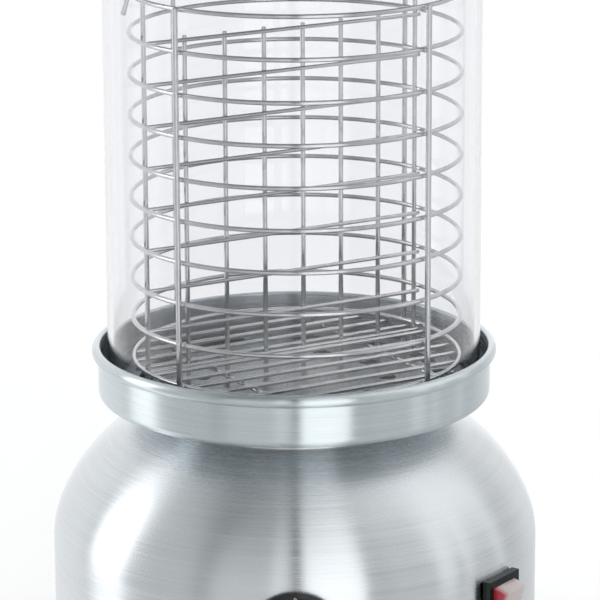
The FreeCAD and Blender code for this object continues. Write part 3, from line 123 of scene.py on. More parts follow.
class Blank:
    """A mesh in the making, shaped by bmesh operators and then turned into a finished piece."""

    def __init__(self) -> None:
        """Starts with an empty mesh."""
        self.bm = bmesh.new()

    def outline(self, corners: Sequence[Corner], closed: bool = True) -> list:
        """Draws an outline in the XZ plane: straight runs are extruded, arcs are spun.

        Args:
            corners: The corners in order.
            closed: Whether the last corner joins the first.

        Returns:
            The outline's vertices and edges.
        """
        before = set(self.bm.verts)
        tip = self.bm.verts.new((corners[0].across, 0, corners[0].up))
        route = list(corners[1:]) + ([corners[0]] if closed else [])
        here = corners[0]
        for corner in route:
            if corner.radius:
                centre, angle = arc_centre(here, corner)
                made = spun(self.bm, [tip], centre, ALONG_Y, angle, corner.steps)
            else:
                made = bmesh.ops.extrude_vert_indiv(self.bm, verts=[tip])["verts"]
                step = (corner.across - here.across, 0, corner.up - here.up)
                bmesh.ops.translate(self.bm, verts=made, vec=step)
            tip = next(v for v in made if isinstance(v, bmesh.types.BMVert))
            here = corner
        verts = [v for v in self.bm.verts if v not in before]
        bmesh.ops.remove_doubles(self.bm, verts=verts, dist=MERGE_DISTANCE)
        verts = [v for v in self.bm.verts if v not in before]
        return verts + edges_of(verts)

    def turn(self, corners: Sequence[Corner], steps: int, closed: bool = True) -> None:
        """Draws an outline and spins it a full turn about the Z axis."""
        spun(self.bm, self.outline(corners, closed), ORIGIN, UP, FULL_TURN, steps, use_merge=True)
        bmesh.ops.remove_doubles(self.bm, verts=self.bm.verts, dist=MERGE_DISTANCE)

    def ring(self, radius: float, height: float, wire: float, steps: int, sides: int) -> None:
        """Adds a closed ring of round wire about the Z axis.

        Args:
            radius: The radius of the wire's middle line.
            height: The ring's height.
            wire: The wire's radius.
            steps: The number of facets round the ring.
            sides: The number of sides of the wire's section.
        """
        place = Matrix.Translation((radius, 0, height)) @ Matrix.Rotation(QUARTER_TURN, 4, "X")
        made = bmesh.ops.create_circle(self.bm, radius=wire, segments=sides, matrix=place)["verts"]
        spun(self.bm, made + edges_of(made), ORIGIN, UP, FULL_TURN, steps, use_merge=True)

    def bead(self, place: Vector, radius: float) -> None:
        """Adds a small bead of weld metal."""
        bmesh.ops.create_icosphere(self.bm, subdivisions=2, radius=radius,
                                   matrix=Matrix.Translation(place))

    def disc(self, place: Matrix, radius: float, height: float, edge: float, sides: int) -> None:
        """Adds a round disc or rod that stands on a placed XY plane, with both rims eased.

        Args:
            place: The frame of the plane.
            radius: The rod's radius.
            height: Its length.
            edge: How far its rims are rounded.
            sides: The number of its sides.
        """
        middle = place @ Matrix.Translation((0, 0, height / 2))
        made = bmesh.ops.create_cone(self.bm, cap_ends=True, segments=sides, radius1=radius,
                                     radius2=radius, depth=height, matrix=middle)["verts"]
        self.ease([e for e in edges_of(made) if any(len(f.verts) > 4 for f in e.link_faces)], edge)

    def thicken(self, way: Vector) -> bmesh.types.BMFace:
        """Fills the outline and grows it into a solid.

        Args:
            way: How far and where the face is grown.

        Returns:
            The far face.
        """
        near = bmesh.ops.contextual_create(self.bm, geom=self.bm.edges[:])["faces"][0]
        grown = bmesh.ops.extrude_face_region(self.bm, geom=[near], use_keep_orig=True)["geom"]
        far = next(g for g in grown if isinstance(g, bmesh.types.BMFace))
        bmesh.ops.translate(self.bm, verts=far.verts, vec=way)
        return far

    def stack(self, place: Matrix, stations: Sequence[Triple]) -> None:
        """Grows a closed form of rectangular stations in a placed frame.

        Args:
            place: The frame that the form is made in, with the levels along its Z axis.
            stations: The width, height and level of each station in order.
        """
        width, tall, level = stations[0]
        first = Matrix.Translation((0, 0, level)) @ Matrix.Diagonal((width, tall, 1, 1))
        made = bmesh.ops.create_grid(self.bm, x_segments=1, y_segments=1, size=0.5,
                                     matrix=place @ first)["verts"]
        face = made[0].link_faces[0]
        for index, (next_width, next_tall, next_level) in enumerate(stations[1:]):
            grown = bmesh.ops.extrude_face_region(self.bm, geom=[face], use_keep_orig=not index)["geom"]
            face = next(g for g in grown if isinstance(g, bmesh.types.BMFace))
            scale = Matrix.Diagonal((next_width / width, next_tall / tall, 1, 1))
            move = place @ Matrix.Translation((0, 0, next_level - level)) @ scale @ place.inverted()
            bmesh.ops.transform(self.bm, matrix=move, verts=list(face.verts))
            width, tall, level = next_width, next_tall, next_level

    def ease(self, edges: list, offset: float, segments: int = 3) -> None:
        """Rounds edges by a bevel."""
        bmesh.ops.bevel(self.bm, geom=edges, offset=offset, offset_type="OFFSET", segments=segments,
                        profile=0.5, affect="EDGES", clamp_overlap=True, material=-1)

    def sharp_edges(self, angle: float = SHARP_ANGLE) -> list:
        """The edges at which two faces meet at more than an angle."""
        self.bm.normal_update()
        return [e for e in self.bm.edges if len(e.link_faces) == 2 and e.calc_face_angle(0) > angle]

    def rim(self, way: Vector, level: float) -> list:
        """The sharp edges that lie at one level along a way."""
        return [e for e in self.sharp_edges()
                if all(abs(v.co.dot(way) - level) < MERGE_DISTANCE for v in e.verts)]

    def move(self, matrix: Matrix) -> None:
        """Moves the whole mesh."""
        bmesh.ops.transform(self.bm, matrix=matrix, verts=self.bm.verts)

    def mesh(self, name: str) -> bpy.types.Mesh:
        """Ends the work on the mesh.

        Args:
            name: The mesh's name.

        Returns:
            The mesh.
        """
        mesh = bpy.data.meshes.new(name)
        self.bm.to_mesh(mesh)
        self.bm.free()
        return mesh

    def take_in(self, other: "Blank") -> None:
        """Adds another blank's mesh, which ends there.

        Args:
            other: The blank that is used up.
        """
        mesh = other.mesh("part")
        self.bm.from_mesh(mesh)
        bpy.data.meshes.remove(mesh)

    def finish(self, name: str, body: str, finish: "Finishes", slot: str,
               *hides: str) -> bpy.types.Object:
        """Turns the mesh into a piece that rides on a body.

        Args:
            name: The piece's name.
            body: The CAD body that it rides on.
            finish: The finish that covers it.
            slot: The record's material slot; not used.
            *hides: CAD nodes that it stands for.

        Returns:
            The finished object.
        """
        bmesh.ops.recalc_face_normals(self.bm, faces=self.bm.faces)
        mesh = self.mesh(name)
        mesh.shade_smooth()
        mesh.set_sharp_from_angle(angle=SHARP_ANGLE)
        piece = placed(name, mesh)
        mesh.materials.append(finish.value.material())
        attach(piece, body)
        if hides:
            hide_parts(*hides)
        LOG.info("%s: %d faces on %s", name, len(mesh.polygons), body)
        return piece


class WireBender:
    """Draws one round wire: straight runs are extruded and bends are spun."""

    def __init__(self, blank: Blank, start: Vector, heading: Vector, radius: float,
                 sides: int = 14) -> None:
        """Puts the wire's first end, closed, at a start point.

        Args:
            blank: The mesh that the wire is added to.
            start: The centre of the first end.
            heading: The way the wire sets off.
            radius: The wire's radius.
            sides: The number of sides of its section.
        """
        self.bm = blank.bm
        self.blank = blank
        self.heading = heading.normalized()
        self.radius = radius
        aim = Matrix.Translation(start) @ self.heading.to_track_quat("Z", "Y").to_matrix().to_4x4()
        self.verts = bmesh.ops.create_circle(self.bm, cap_ends=True, radius=radius, segments=sides,
                                             matrix=aim)["verts"]
        self.edges = edges_of(self.verts)
        self.first_edges = list(self.edges)

    def run(self, length: float) -> "WireBender":
        """Goes straight on for a length.

        Args:
            length: How far.

        Returns:
            The bender itself.
        """
        self._take(bmesh.ops.extrude_edge_only(self.bm, edges=self.edges)["geom"])
        bmesh.ops.translate(self.bm, verts=self.verts, vec=self.heading * length)
        return self

    def bend(self, centre: Vector, axis: Vector, angle: float, steps: int) -> "WireBender":
        """Bends about an axis through a centre.

        Args:
            centre: A place on the axis.
            axis: The axis's direction.
            angle: How far it bends.
            steps: The number of facets along the bend.

        Returns:
            The bender itself.
        """
        self._take(spun(self.bm, self.verts + self.edges, centre, axis, angle, steps))
        self.heading = Matrix.Rotation(angle, 3, axis) @ self.heading
        return self

    def end(self) -> None:
        """Closes the far end and eases both cut ends."""
        bmesh.ops.edgeloop_fill(self.bm, edges=self.edges)
        self.blank.ease(self.edges + self.first_edges, self.radius / 3, 2)

    def _take(self, made: list) -> None:
        """Takes the wire's new tip from what an operator made.

        Args:
            made: What the operator made.
        """
        self.verts = [g for g in made if isinstance(g, bmesh.types.BMVert)]
        tip = set(self.verts)
        self.edges = [g for g in made if isinstance(g, bmesh.types.BMEdge) and set(g.verts) <= tip]


def arc_centre(start: Corner, end: Corner) -> tuple[Vector, float]:
    """Finds the centre of an outline's arc and the angle to spin about +Y.

    Args:
        start: The corner that the arc leaves.
        end: The corner that it arrives at, with its radius.

    Returns:
        The centre, and the angle, which is negative where the arc turns left.
    """
    chord = Vector((end.across - start.across, end.up - start.up))
    left = Vector((-chord.y, chord.x)).normalized()
    radius = abs(end.radius)
    rise = math.sqrt(max(radius * radius - chord.length_squared / 4, 0))
    middle = Vector((start.across + end.across, start.up + end.up)) / 2
    centre = middle + left * math.copysign(rise, end.radius)
    angle = 2 * math.asin(min(chord.length / 2 / radius, 1))
    return Vector((centre.x, 0, centre.y)), -math.copysign(angle, end.radius)


class Reach:
    """The size and place of a CAD node."""

    def __init__(self, node: str) -> None:
        """Reads a node's box from the frame."""
        self.low, self.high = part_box(node)

    @property
    def radius(self) -> float:
        """Half the width along X."""
        return (self.high.x - self.low.x) / 2

    @property
    def middle(self) -> Vector:
        """The middle of the box."""
        return (self.low + self.high) / 2


class Graph:
    """A node tree, with short calls for the nodes that the materials and the sky share."""

    def __init__(self, tree: bpy.types.NodeTree) -> None:
        """Takes a node tree."""
        self.tree = tree

    def add(self, kind: str, **settings: object) -> bpy.types.Node:
        """Adds a node and sets its properties.

        Args:
            kind: The node's type.
            **settings: Its properties.

        Returns:
            The node.
        """
        node = self.tree.nodes.new(kind)
        for name, value in settings.items():
            setattr(node, name, value)
        return node

    def link(self, source: Socket, target: Socket) -> None:
        """Joins two sockets."""
        self.tree.links.new(source, target)

    def place(self) -> Socket:
        """Object coordinates."""
        return self.add("ShaderNodeTexCoord").outputs["Object"]

    def compute(self, operation: str, *values: object) -> Socket:
        """One step of arithmetic on sockets or plain numbers."""
        return self.fed(self.add("ShaderNodeMath", operation=operation), values).outputs[0]

    def vector(self, operation: str, *values: object, output: str = "Vector") -> Socket:
        """One step of arithmetic on vectors."""
        return self.fed(self.add("ShaderNodeVectorMath", operation=operation), values).outputs[output]

    def fed(self, node: bpy.types.Node, values: Sequence[object]) -> bpy.types.Node:
        """Feeds a node's inputs in order, each from a socket or with a plain value.

        Args:
            node: The node.
            values: A socket or a value for each input.

        Returns:
            The same node.
        """
        for socket, value in zip(node.inputs, values):
            if isinstance(value, Socket):
                self.link(value, socket)
            else:
                socket.default_value = value
        return node

    def height_of(self, vector: Socket) -> Socket:
        """The Z part of a vector."""
        return self.fed(self.add("ShaderNodeSeparateXYZ"), [vector]).outputs["Z"]

    def around(self, turns: float, lines: float) -> Socket:
        """Coordinates that stretch a pattern round the Z axis, as a lathe leaves it.

        Args:
            turns: How fast the pattern changes round the axis, per radian.
            lines: How fast it changes along the outline, per metre.

        Returns:
            A vector socket.
        """
        flat = self.vector("MULTIPLY", self.place(), (1, 1, 0))
        reach = self.vector("LENGTH", flat, output="Value")
        round_axis = self.vector("MULTIPLY", self.vector("NORMALIZE", flat), (turns, turns, turns))
        along = self.compute("SUBTRACT", self.height_of(self.place()), reach)
        along = self.compute("MULTIPLY", along, lines)
        lift = self.fed(self.add("ShaderNodeCombineXYZ"), [0.0, 0.0, along])
        return self.vector("ADD", round_axis, lift.outputs["Vector"])

    def noise(self, vector: Socket, scale: float, detail: float = 3.0) -> Socket:
        """Adds noise between about 0 and 1.

        Args:
            vector: Where it is read.
            scale: How fine it is.
            detail: How many finer layers it has.

        Returns:
            The noise.
        """
        node = self.add("ShaderNodeTexNoise")
        node.inputs["Scale"].default_value = scale
        node.inputs["Detail"].default_value = detail
        self.link(vector, node.inputs["Vector"])
        return node.outputs["Fac"]

    def spread(self, value: Socket, low: float, high: float, start: float = 0.3,
               end: float = 0.7, kind: str = "LINEAR") -> Socket:
        """Maps a value from start..end to low..high.

        Args:
            value: The value.
            low: What start becomes.
            high: What end becomes.
            start: Where the change starts.
            end: Where it ends.
            kind: The curve between them.

        Returns:
            The mapped value.
        """
        node = self.add("ShaderNodeMapRange", interpolation_type=kind)
        for name, number in (("From Min", start), ("From Max", end), ("To Min", low), ("To Max", high)):
            node.inputs[name].default_value = number
        self.link(value, node.inputs["Value"])
        return node.outputs["Result"]

    def seen(self) -> Socket:
        """Tells the rays that look at the background, also through the glass, from the rest.

        A ray that a gloss surface has thrown back counts only if it has crossed one glass wall at most.

        Returns:
            The switch, 0 or 1.
        """
        path = self.add("ShaderNodeLightPath")
        straight = self.compute("LESS_THAN", path.outputs["Glossy Depth"], NO_BOUNCE)
        one_wall = self.compute("LESS_THAN", path.outputs["Transmission Depth"], ONE_GLASS_WALL)
        through = self.compute("MULTIPLY", path.outputs["Is Transmission Ray"],
                               self.compute("MAXIMUM", straight, one_wall))
        return self.compute("MAXIMUM", path.outputs["Is Camera Ray"], through)

    def mirrored(self) -> Socket:
        """Tells the rays that a gloss surface throws back, or that test a shadow, from the rest.

        Returns:
            The switch, 0 or 1.
        """
        path = self.add("ShaderNodeLightPath")
        bounced = self.compute("GREATER_THAN", path.outputs["Glossy Depth"], NO_BOUNCE)
        return self.compute("MAXIMUM", bounced, path.outputs["Is Shadow Ray"])


class Paint(Graph):
    """A material's nodes, round its Principled shader."""

    def __init__(self, name: str) -> None:
        """Makes a material.

        Args:
            name: The material's name.
        """
        self.material = bpy.data.materials.new(name)
        self.material.use_nodes = True
        super().__init__(self.material.node_tree)
        self.shader = self.tree.nodes["Principled BSDF"]

    def shades(self, value: Socket, first: Sequence[float], second: Sequence[float]) -> None:
        """Colours the surface between two shades.

        Args:
            value: The mixture, from 0 to 1.
            first: The colour at 0.
            second: The colour at 1.
        """
        node = self.add("ShaderNodeMix", data_type="RGBA")
        node.inputs["A"].default_value = (*first, 1)
        node.inputs["B"].default_value = (*second, 1)
        self.link(value, node.inputs["Factor"])
        self.link(node.outputs["Result"], self.shader.inputs["Base Color"])

    def shade(self, value: Socket, colour: Sequence[float], tones: Sequence[float]) -> None:
        """Varies a colour between two tones of it, each given as a factor."""
        first, second = (tuple(min(c * factor, 1.0) for c in colour) for factor in tones)
        self.shades(self.spread(value, 0, 1), first, second)

    def gloss(self, value: Socket, roughness: float, reach: Sequence[float]) -> None:
        """Varies the roughness by so much below and above its middle."""
        self.link(self.spread(value, roughness - reach[0], roughness + reach[1]),
                  self.shader.inputs["Roughness"])

    def relief(self, height: Socket, depth: float) -> None:
        """Gives the surface a relief of a real depth.

        Args:
            height: The relief, from 0 to 1.
            depth: Its depth in metres.
        """
        node = self.add("ShaderNodeBump")
        node.inputs["Distance"].default_value = depth
        self.link(height, node.inputs["Height"])
        self.link(node.outputs["Normal"], self.shader.inputs["Normal"])

    def pass_on(self, share: Socket) -> None:
        """Lets a share of the rays pass as if the surface weren't there.

        Args:
            share: The share.
        """
        mix = self.add("ShaderNodeMixShader")
        self.link(share, mix.inputs[0])
        self.link(self.shader.outputs[0], mix.inputs[1])
        self.link(self.add("ShaderNodeBsdfTransparent").outputs[0], mix.inputs[2])
        self.link(mix.outputs[0], self.tree.nodes["Material Output"].inputs["Surface"])

    def set(self, **values: object) -> None:
        """Sets constants on the shader's own sockets; an underscore stands for a space."""
        for name, value in values.items():
            self.shader.inputs[name.replace("_", " ")].default_value = value


class Finish:
    """A finish, whose material is made once and shared by the pieces that it covers."""

    name: str
    made: dict[str, bpy.types.Material] = {}

    def material(self) -> bpy.types.Material:
        """The finish's material, made the first time that it is needed.

        Returns:
            The material.
        """
        if self.name not in Finish.made:
            paint = Paint(self.name)
            self.wire(paint)
            Finish.made[self.name] = paint.material
        return Finish.made[self.name]

    def wire(self, graph: Paint) -> None:
        """Wires the material's nodes."""
        raise NotImplementedError

    def cover(self, node: str) -> None:
        """Puts the finish on a CAD node.

        Args:
            node: The node's name.
        """
        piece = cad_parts[node]
        piece.data.materials.clear()
        piece.data.materials.append(self.material())
        LOG.info("%s: finished in %s", node, self.name)


@dataclass(frozen=True)
class SpunMetal(Finish):
    """Spun sheet metal, with the fine lines that the lathe leaves round the axis."""

    name: str
    colour: Triple = (0.675, 0.70, 0.72)
    roughness: float = 0.26
    anisotropy: float = 1.0
    line_pitch: float = 0.9 * MM
    band_pitch: float = 5 * MM
    line_turns: float = 1.6
    band_turns: float = 0.9
    line_share: float = 0.6
    tones: tuple[float, float] = (0.92, 1.08)
    gloss: tuple[float, float] = (0.04, 0.05)
    depth: float = 0.04 * MM
    lay: float = 0.25

    def wire(self, graph: Paint) -> None:
        """Fine lines and broader bands change the shade, the gloss and the relief.

        Args:
            graph: The material's nodes.
        """
        lines = graph.noise(graph.around(self.line_turns, 1 / self.line_pitch), 1.0, 2.0)
        bands = graph.noise(graph.around(self.band_turns, 1 / self.band_pitch), 1.0)
        mixed = graph.compute("ADD", graph.compute("MULTIPLY", lines, self.line_share),
                              graph.compute("MULTIPLY", bands, 1 - self.line_share))
        graph.shade(mixed, self.colour, self.tones)
        graph.gloss(mixed, self.roughness, self.gloss)
        graph.relief(lines, self.depth)
        tangent = graph.add("ShaderNodeTangent", direction_type="RADIAL", axis="Z")
        graph.link(tangent.outputs["Tangent"], graph.shader.inputs["Tangent"])
        graph.set(Metallic=1.0, Anisotropic=self.anisotropy, Anisotropic_Rotation=self.lay)


@dataclass(frozen=True)
class DrawnWire(Finish):
    """Bright stainless wire with faint marks from the drawing die."""

    name: str
    colour: Triple = (0.62, 0.625, 0.625)
    roughness: float = 0.11
    blotches: float = 90.0
    grain: float = 1400.0
    tones: tuple[float, float] = (0.92, 1.05)
    gloss: tuple[float, float] = (0.03, 0.08)
    depth: float = 0.004 * MM

    def wire(self, graph: Paint) -> None:
        """Soft blotches in the shade and a very fine grain in the gloss.

        Args:
            graph: The material's nodes.
        """
        grain = graph.noise(graph.place(), self.grain, 2.0)
        graph.shade(graph.noise(graph.place(), self.blotches), self.colour, self.tones)
        graph.gloss(grain, self.roughness, self.gloss)
        graph.relief(grain, self.depth)
        graph.set(Metallic=1.0)


@dataclass(frozen=True)
class SheetMetal(Finish):
    """Plain sheet, plated or drawn metal with a spangle or grain of its own."""

    name: str
    colour: Triple
    roughness: float = 0.38
    spangle: float = 260.0
    contrast: float = 0.08
    depth: float = 0.01 * MM
    grain: float = 6.0
    gloss: tuple[float, float] = (0.06, 0.08)

    def wire(self, graph: Paint) -> None:
        """A spangle in the shade and a finer grain in the gloss.

        Args:
            graph: The material's nodes.
        """
        fine = graph.noise(graph.place(), self.spangle * self.grain, 2.0)
        tones = (1 - self.contrast, 1 + self.contrast)
        graph.shade(graph.noise(graph.place(), self.spangle), self.colour, tones)
        graph.gloss(fine, self.roughness, self.gloss)
        graph.relief(fine, self.depth)
        graph.set(Metallic=1.0)


@dataclass(frozen=True)
class ClearGlass(Finish):
    """Clear drawn glass, hardly tinted, with a trace of waviness round the cylinder."""

    name: str
    colour: Triple = (0.943, 0.942, 0.958)
    wave_turns: float = 3.0
    wave_lines: float = 18.0
    patches: float = 40.0
    haze: float = 0.02
    tones: tuple[float, float] = (1.0, 0.995)
    depth: float = 0.02 * MM
    ior: float = 1.47

    def wire(self, graph: Paint) -> None:
        """A faint waviness and a trace of haze.

        Args:
            graph: The material's nodes.
        """
        waves = graph.noise(graph.around(self.wave_turns, self.wave_lines), 1.0, 1.0)
        graph.gloss(graph.noise(graph.place(), self.patches, 4.0), 0.0, (0.0, self.haze))
        graph.shade(waves, self.colour, self.tones)
        graph.relief(waves, self.depth)
        graph.set(Transmission_Weight=1.0, IOR=self.ior)


@dataclass(frozen=True)
class Moulding(Finish):
    """Moulded plastic or rubber with the fine texture of its mould."""

    name: str
    colour: Triple
    roughness: float = 0.35
    texture: float = 1500.0
    depth: float = 0.02 * MM
    coat: float = 0.0
    see_through: float = 0.0
    patches: float = 120.0
    tones: tuple[float, float] = (0.9, 1.08)
    gloss: tuple[float, float] = (0.05, 0.07)
    coat_roughness: float = 0.06
    ior: float = 1.5

    def wire(self, graph: Paint) -> None:
        """A mould texture in the relief and slow changes in the shade and the gloss.

        Args:
            graph: The material's nodes.
        """
        slow = graph.noise(graph.place(), self.patches)
        graph.shade(slow, self.colour, self.tones)
        graph.gloss(slow, self.roughness, self.gloss)
        graph.relief(graph.noise(graph.place(), self.texture, 2.0), self.depth)
        graph.set(Coat_Weight=self.coat, Coat_Roughness=self.coat_roughness,
                  Transmission_Weight=self.see_through, IOR=self.ior)


@dataclass(frozen=True)
class ClearCap(Moulding):
    """A cap whose colour fades from red on one side to pale across it, with stripes for its ribs.

    Attributes:
        clear: The pale colour that the red fades to.
        across: The direction in which the red fades.
        red_end: Where along it the red is strongest.
        clear_end: Where along it the colour is palest.
        rib_pitch: The distance between the ribs.
        rib_shade: How far the ribs change the mixture.
    """

    clear: Triple = (0.88, 0.77, 0.75)
    across: Triple = (0.588, 0.809, 0.0)
    red_end: float = -10.4 * MM
    clear_end: float = -5 * MM
    rib_pitch: float = 3.4 * MM
    rib_shade: float = 0.06

    def wire(self, graph: Paint) -> None:
        """The mould texture, with the red fading across and the ribs over it.

        Args:
            graph: The material's nodes.
        """
        super().wire(graph)
        place = graph.vector("DOT_PRODUCT", graph.place(), self.across, output="Value")
        fade = graph.spread(place, 0, 1 - self.rib_shade, self.red_end, self.clear_end)
        wave = graph.compute("SINE", graph.compute("MULTIPLY", place, FULL_TURN / self.rib_pitch))
        ribs = graph.compute("MULTIPLY", graph.compute("MULTIPLY", fade, self.rib_shade), wave)
        graph.shades(graph.compute("ADD", fade, ribs), self.colour, self.clear)


class Finishes(Enum):
    """Every finish of the steamer."""

    HOUSING = SpunMetal("housing_spun_aluminium")
    PAN = SpunMetal("pan_spun_aluminium", (0.60, 0.65, 0.67), 0.25)
    LID = SpunMetal("lid_spun_aluminium", roughness=0.31)
    TANK = SpunMetal("tank_drawn_steel", (0.64, 0.64, 0.63), 0.24, 0.4, 0.8 * MM)
    PLATE = SheetMetal("steam_plate_steel", (0.40, 0.43, 0.43), 0.30, 120.0, 0.05)
    WIRE = DrawnWire("bright_stainless_wire")
    GLASS = ClearGlass("clear_glass")
    GALVANISED = SheetMetal("galvanised_sheet", (0.58, 0.59, 0.60), 0.42, 140.0, 0.14)
    ZINC = SheetMetal("zinc_plate", (0.68, 0.69, 0.68), 0.33)
    SHEATH = SheetMetal("heated_sheath", (0.24, 0.22, 0.20), 0.5)
    BRASS = SheetMetal("brass_blade", (0.80, 0.62, 0.30), 0.3)
    COPPER = SheetMetal("copper_tube", (0.82, 0.50, 0.36), 0.32)
    KNOB = Moulding("knob_black", (0.012, 0.012, 0.013), 0.30, coat=0.3)
    BEZEL = Moulding("bezel_satin_black", (0.004, 0.012, 0.010), 0.34, depth=0.006 * MM)
    BLACK = Moulding("black_moulding", (0.02, 0.02, 0.022), 0.45)
    BROWN = Moulding("brown_moulding", (0.16, 0.08, 0.045), 0.5)
    WHITE = Moulding("white_moulding", (0.82, 0.80, 0.76), 0.45)
    RUBBER = Moulding("foot_rubber", (0.022, 0.022, 0.023), 0.75, 900.0, 0.05 * MM)
    ROCKER = ClearCap("red_rocker", (0.66, 0.02, 0.06), 0.12, coat=0.5, see_through=0.3, depth=0.003 * MM)
    MARKING = Moulding("white_marking", (0.85, 0.85, 0.83), 0.5)

    def cover(self, *nodes: str) -> None:
        """Puts the finish on CAD nodes."""
        for node in nodes:
            self.value.cover(node)


def facing_front(across: float, out: float, up: float, azimuth: float) -> Matrix:
    """The frame of something on the housing's wall: X to the right, Y up, Z outwards.

    Args:
        across: Its offset to the right.
        out: Its distance from the axis.
        up: Its height.
        azimuth: Its angle from the front towards the right.

    Returns:
        The frame as a matrix.
    """
    swing = Matrix.Rotation(azimuth, 4, "Z")
    return swing @ Matrix.Translation((across, -out, up)) @ Matrix.Rotation(QUARTER_TURN, 4, "X")


def polar(radius: float, azimuth: float, height: float) -> Vector:
    """A place round the axis, with its azimuth counted from the front towards the right."""
    return Vector((radius * math.sin(azimuth), -radius * math.cos(azimuth), height))


def azimuths(first: float, count: int) -> list[float]:
    """Evenly spaced azimuths all the way round."""
    return [first + index * FULL_TURN / count for index in range(count)]


@dataclass
class Casing:
    """The spun housing, with its base plate and feet."""

    sheet: float = 1.2 * MM
    foot_bend: float = 3 * MM
    wall_top: float = 76 * MM
    shoulder_radius: float = 49.3 * MM
    shoulder_angle: float = math.radians(21.7)
    dome_radius: float = 93.3 * MM
    land_radius: float = 78 * MM
    mouth_radius: float = 70 * MM
    flange_width: float = 14 * MM
    switch_width: float = 24.6 * MM
    switch_tall: float = 27.6 * MM
    switch_azimuth: float = math.radians(54)
    control_height: float = 61 * MM
    shaft_hole: float = 6 * MM
    gland_hole: float = 7 * MM
    gland_height: float = 32 * MM
    cutter_length: float = 14.4 * MM
    foot_top: float = 12 * MM
    foot_floor: float = 10 * MM
    foot_recess: float = 5 * MM
    foot_hole: float = 2.2 * MM
    foot_web: float = 4 * MM
    foot_edge: float = 1.2 * MM
    foot_circle: float = 104 * MM
    foot_azimuth: float = math.radians(45)
    foot_count: int = 4
    foot_steps: int = 48
    hole_sides: int = 48
    shoulder_steps: int = 14
    dome_steps: int = 30
    steps: int = 256

    def build(self) -> None:
        """Builds the housing and the feet and dresses the base plate."""
        self.housing()
        self.feet()
        Finishes.GALVANISED.cover("base_plate")

    def housing(self) -> None:
        """One shell from the turned-in foot flange to the mouth, with its three openings cut."""
        reach = Reach("base_housing")
        radius, low, high = reach.radius, reach.low.z, reach.high.z
        sheet, bend = self.sheet, self.foot_bend
        flange = radius - bend - self.flange_width

        def shoulder(offset: float) -> tuple[float, float]:
            """A place on the shoulder's last radius, at an offset from the outer skin.

            Args:
                offset: How far outside the outer skin.

            Returns:
                The place, across and up.
            """
            arc = self.shoulder_radius + offset
            return (radius - self.shoulder_radius + arc * math.cos(self.shoulder_angle),
                    self.wall_top + arc * math.sin(self.shoulder_angle))

        dome_x, dome_z = shoulder(-self.dome_radius)
        inner_dome = self.dome_radius - sheet
        inner_land = dome_x + math.sqrt(inner_dome ** 2 - (high - sheet - dome_z) ** 2)
        blank = Blank()
        blank.turn([
            Corner(flange, low),
            Corner(radius - bend, low),
            Corner(radius, low + bend, bend),
            Corner(radius, self.wall_top),
            Corner(*shoulder(0), self.shoulder_radius, self.shoulder_steps),
            Corner(self.land_radius, high, self.dome_radius, self.dome_steps),
            Corner(self.mouth_radius, high),
            Corner(self.mouth_radius, high - sheet),
            Corner(inner_land, high - sheet),
            Corner(*shoulder(-sheet), -inner_dome, self.dome_steps),
            Corner(radius - sheet, self.wall_top, sheet - self.shoulder_radius, self.shoulder_steps),
            Corner(radius - sheet, low + bend),
            Corner(radius - bend, low + sheet, sheet - bend),
            Corner(flange, low + sheet),
        ], self.steps)
        piece = blank.finish("housing_shell", "root", Finishes.HOUSING, "housing_aluminium",
                             "base_housing")
        self.cut_openings(piece, radius)

    def cut_openings(self, piece: bpy.types.Object, radius: float) -> None:
        """Cuts the shaft's hole, the switch's opening and the gland's hole through the wall.

        Args:
            piece: The housing.
            radius: Its outer radius.
        """
        tools = Blank()
        switch = facing_front(0, radius, self.control_height, self.switch_azimuth)
        box = Matrix.Diagonal((self.switch_width, self.switch_tall, self.cutter_length, 1))
        bmesh.ops.create_cube(tools.bm, size=1, matrix=switch @ box)
        spots = ((facing_front(0, radius, self.control_height, 0), self.shaft_hole),
                 (facing_front(0, radius, self.gland_height, math.pi), self.gland_hole))
        for place, hole in spots:
            bmesh.ops.create_cone(tools.bm, cap_ends=True, segments=self.hole_sides, radius1=hole,
                                  radius2=hole, depth=self.cutter_length, matrix=place)
        cutter = placed("opening_tools", tools.mesh("opening_tools"))
        boolean = piece.modifiers.new("openings", "BOOLEAN")
        boolean.operation = "DIFFERENCE"
        boolean.object = cutter
        cut = evaluated(piece)
        piece.modifiers.clear()
        piece.data = cut
        cut.set_sharp_from_angle(angle=SHARP_ANGLE)
        bpy.data.objects.remove(cutter)

    def feet(self) -> None:
        """Four moulded feet, each with a recess for its screw."""
        top = Reach("rubber_feet").high.z
        blank = Blank()
        for azimuth in azimuths(self.foot_azimuth, self.foot_count):
            foot = Blank()
            foot.turn([
                Corner(self.foot_recess, 0),
                Corner(self.foot_floor - self.foot_edge, 0),
                Corner(self.foot_floor, self.foot_edge, self.foot_edge),
                Corner(self.foot_top, top - self.foot_edge),
                Corner(self.foot_top - self.foot_edge, top, self.foot_edge),
                Corner(self.foot_hole, top),
                Corner(self.foot_hole, top - self.foot_web),
                Corner(self.foot_recess, top - self.foot_web),
            ], self.foot_steps)
            foot.move(Matrix.Translation(polar(self.foot_circle, azimuth, 0)))
            blank.take_in(foot)
        blank.finish("feet", "root", Finishes.RUBBER, "rubber", "rubber_feet")


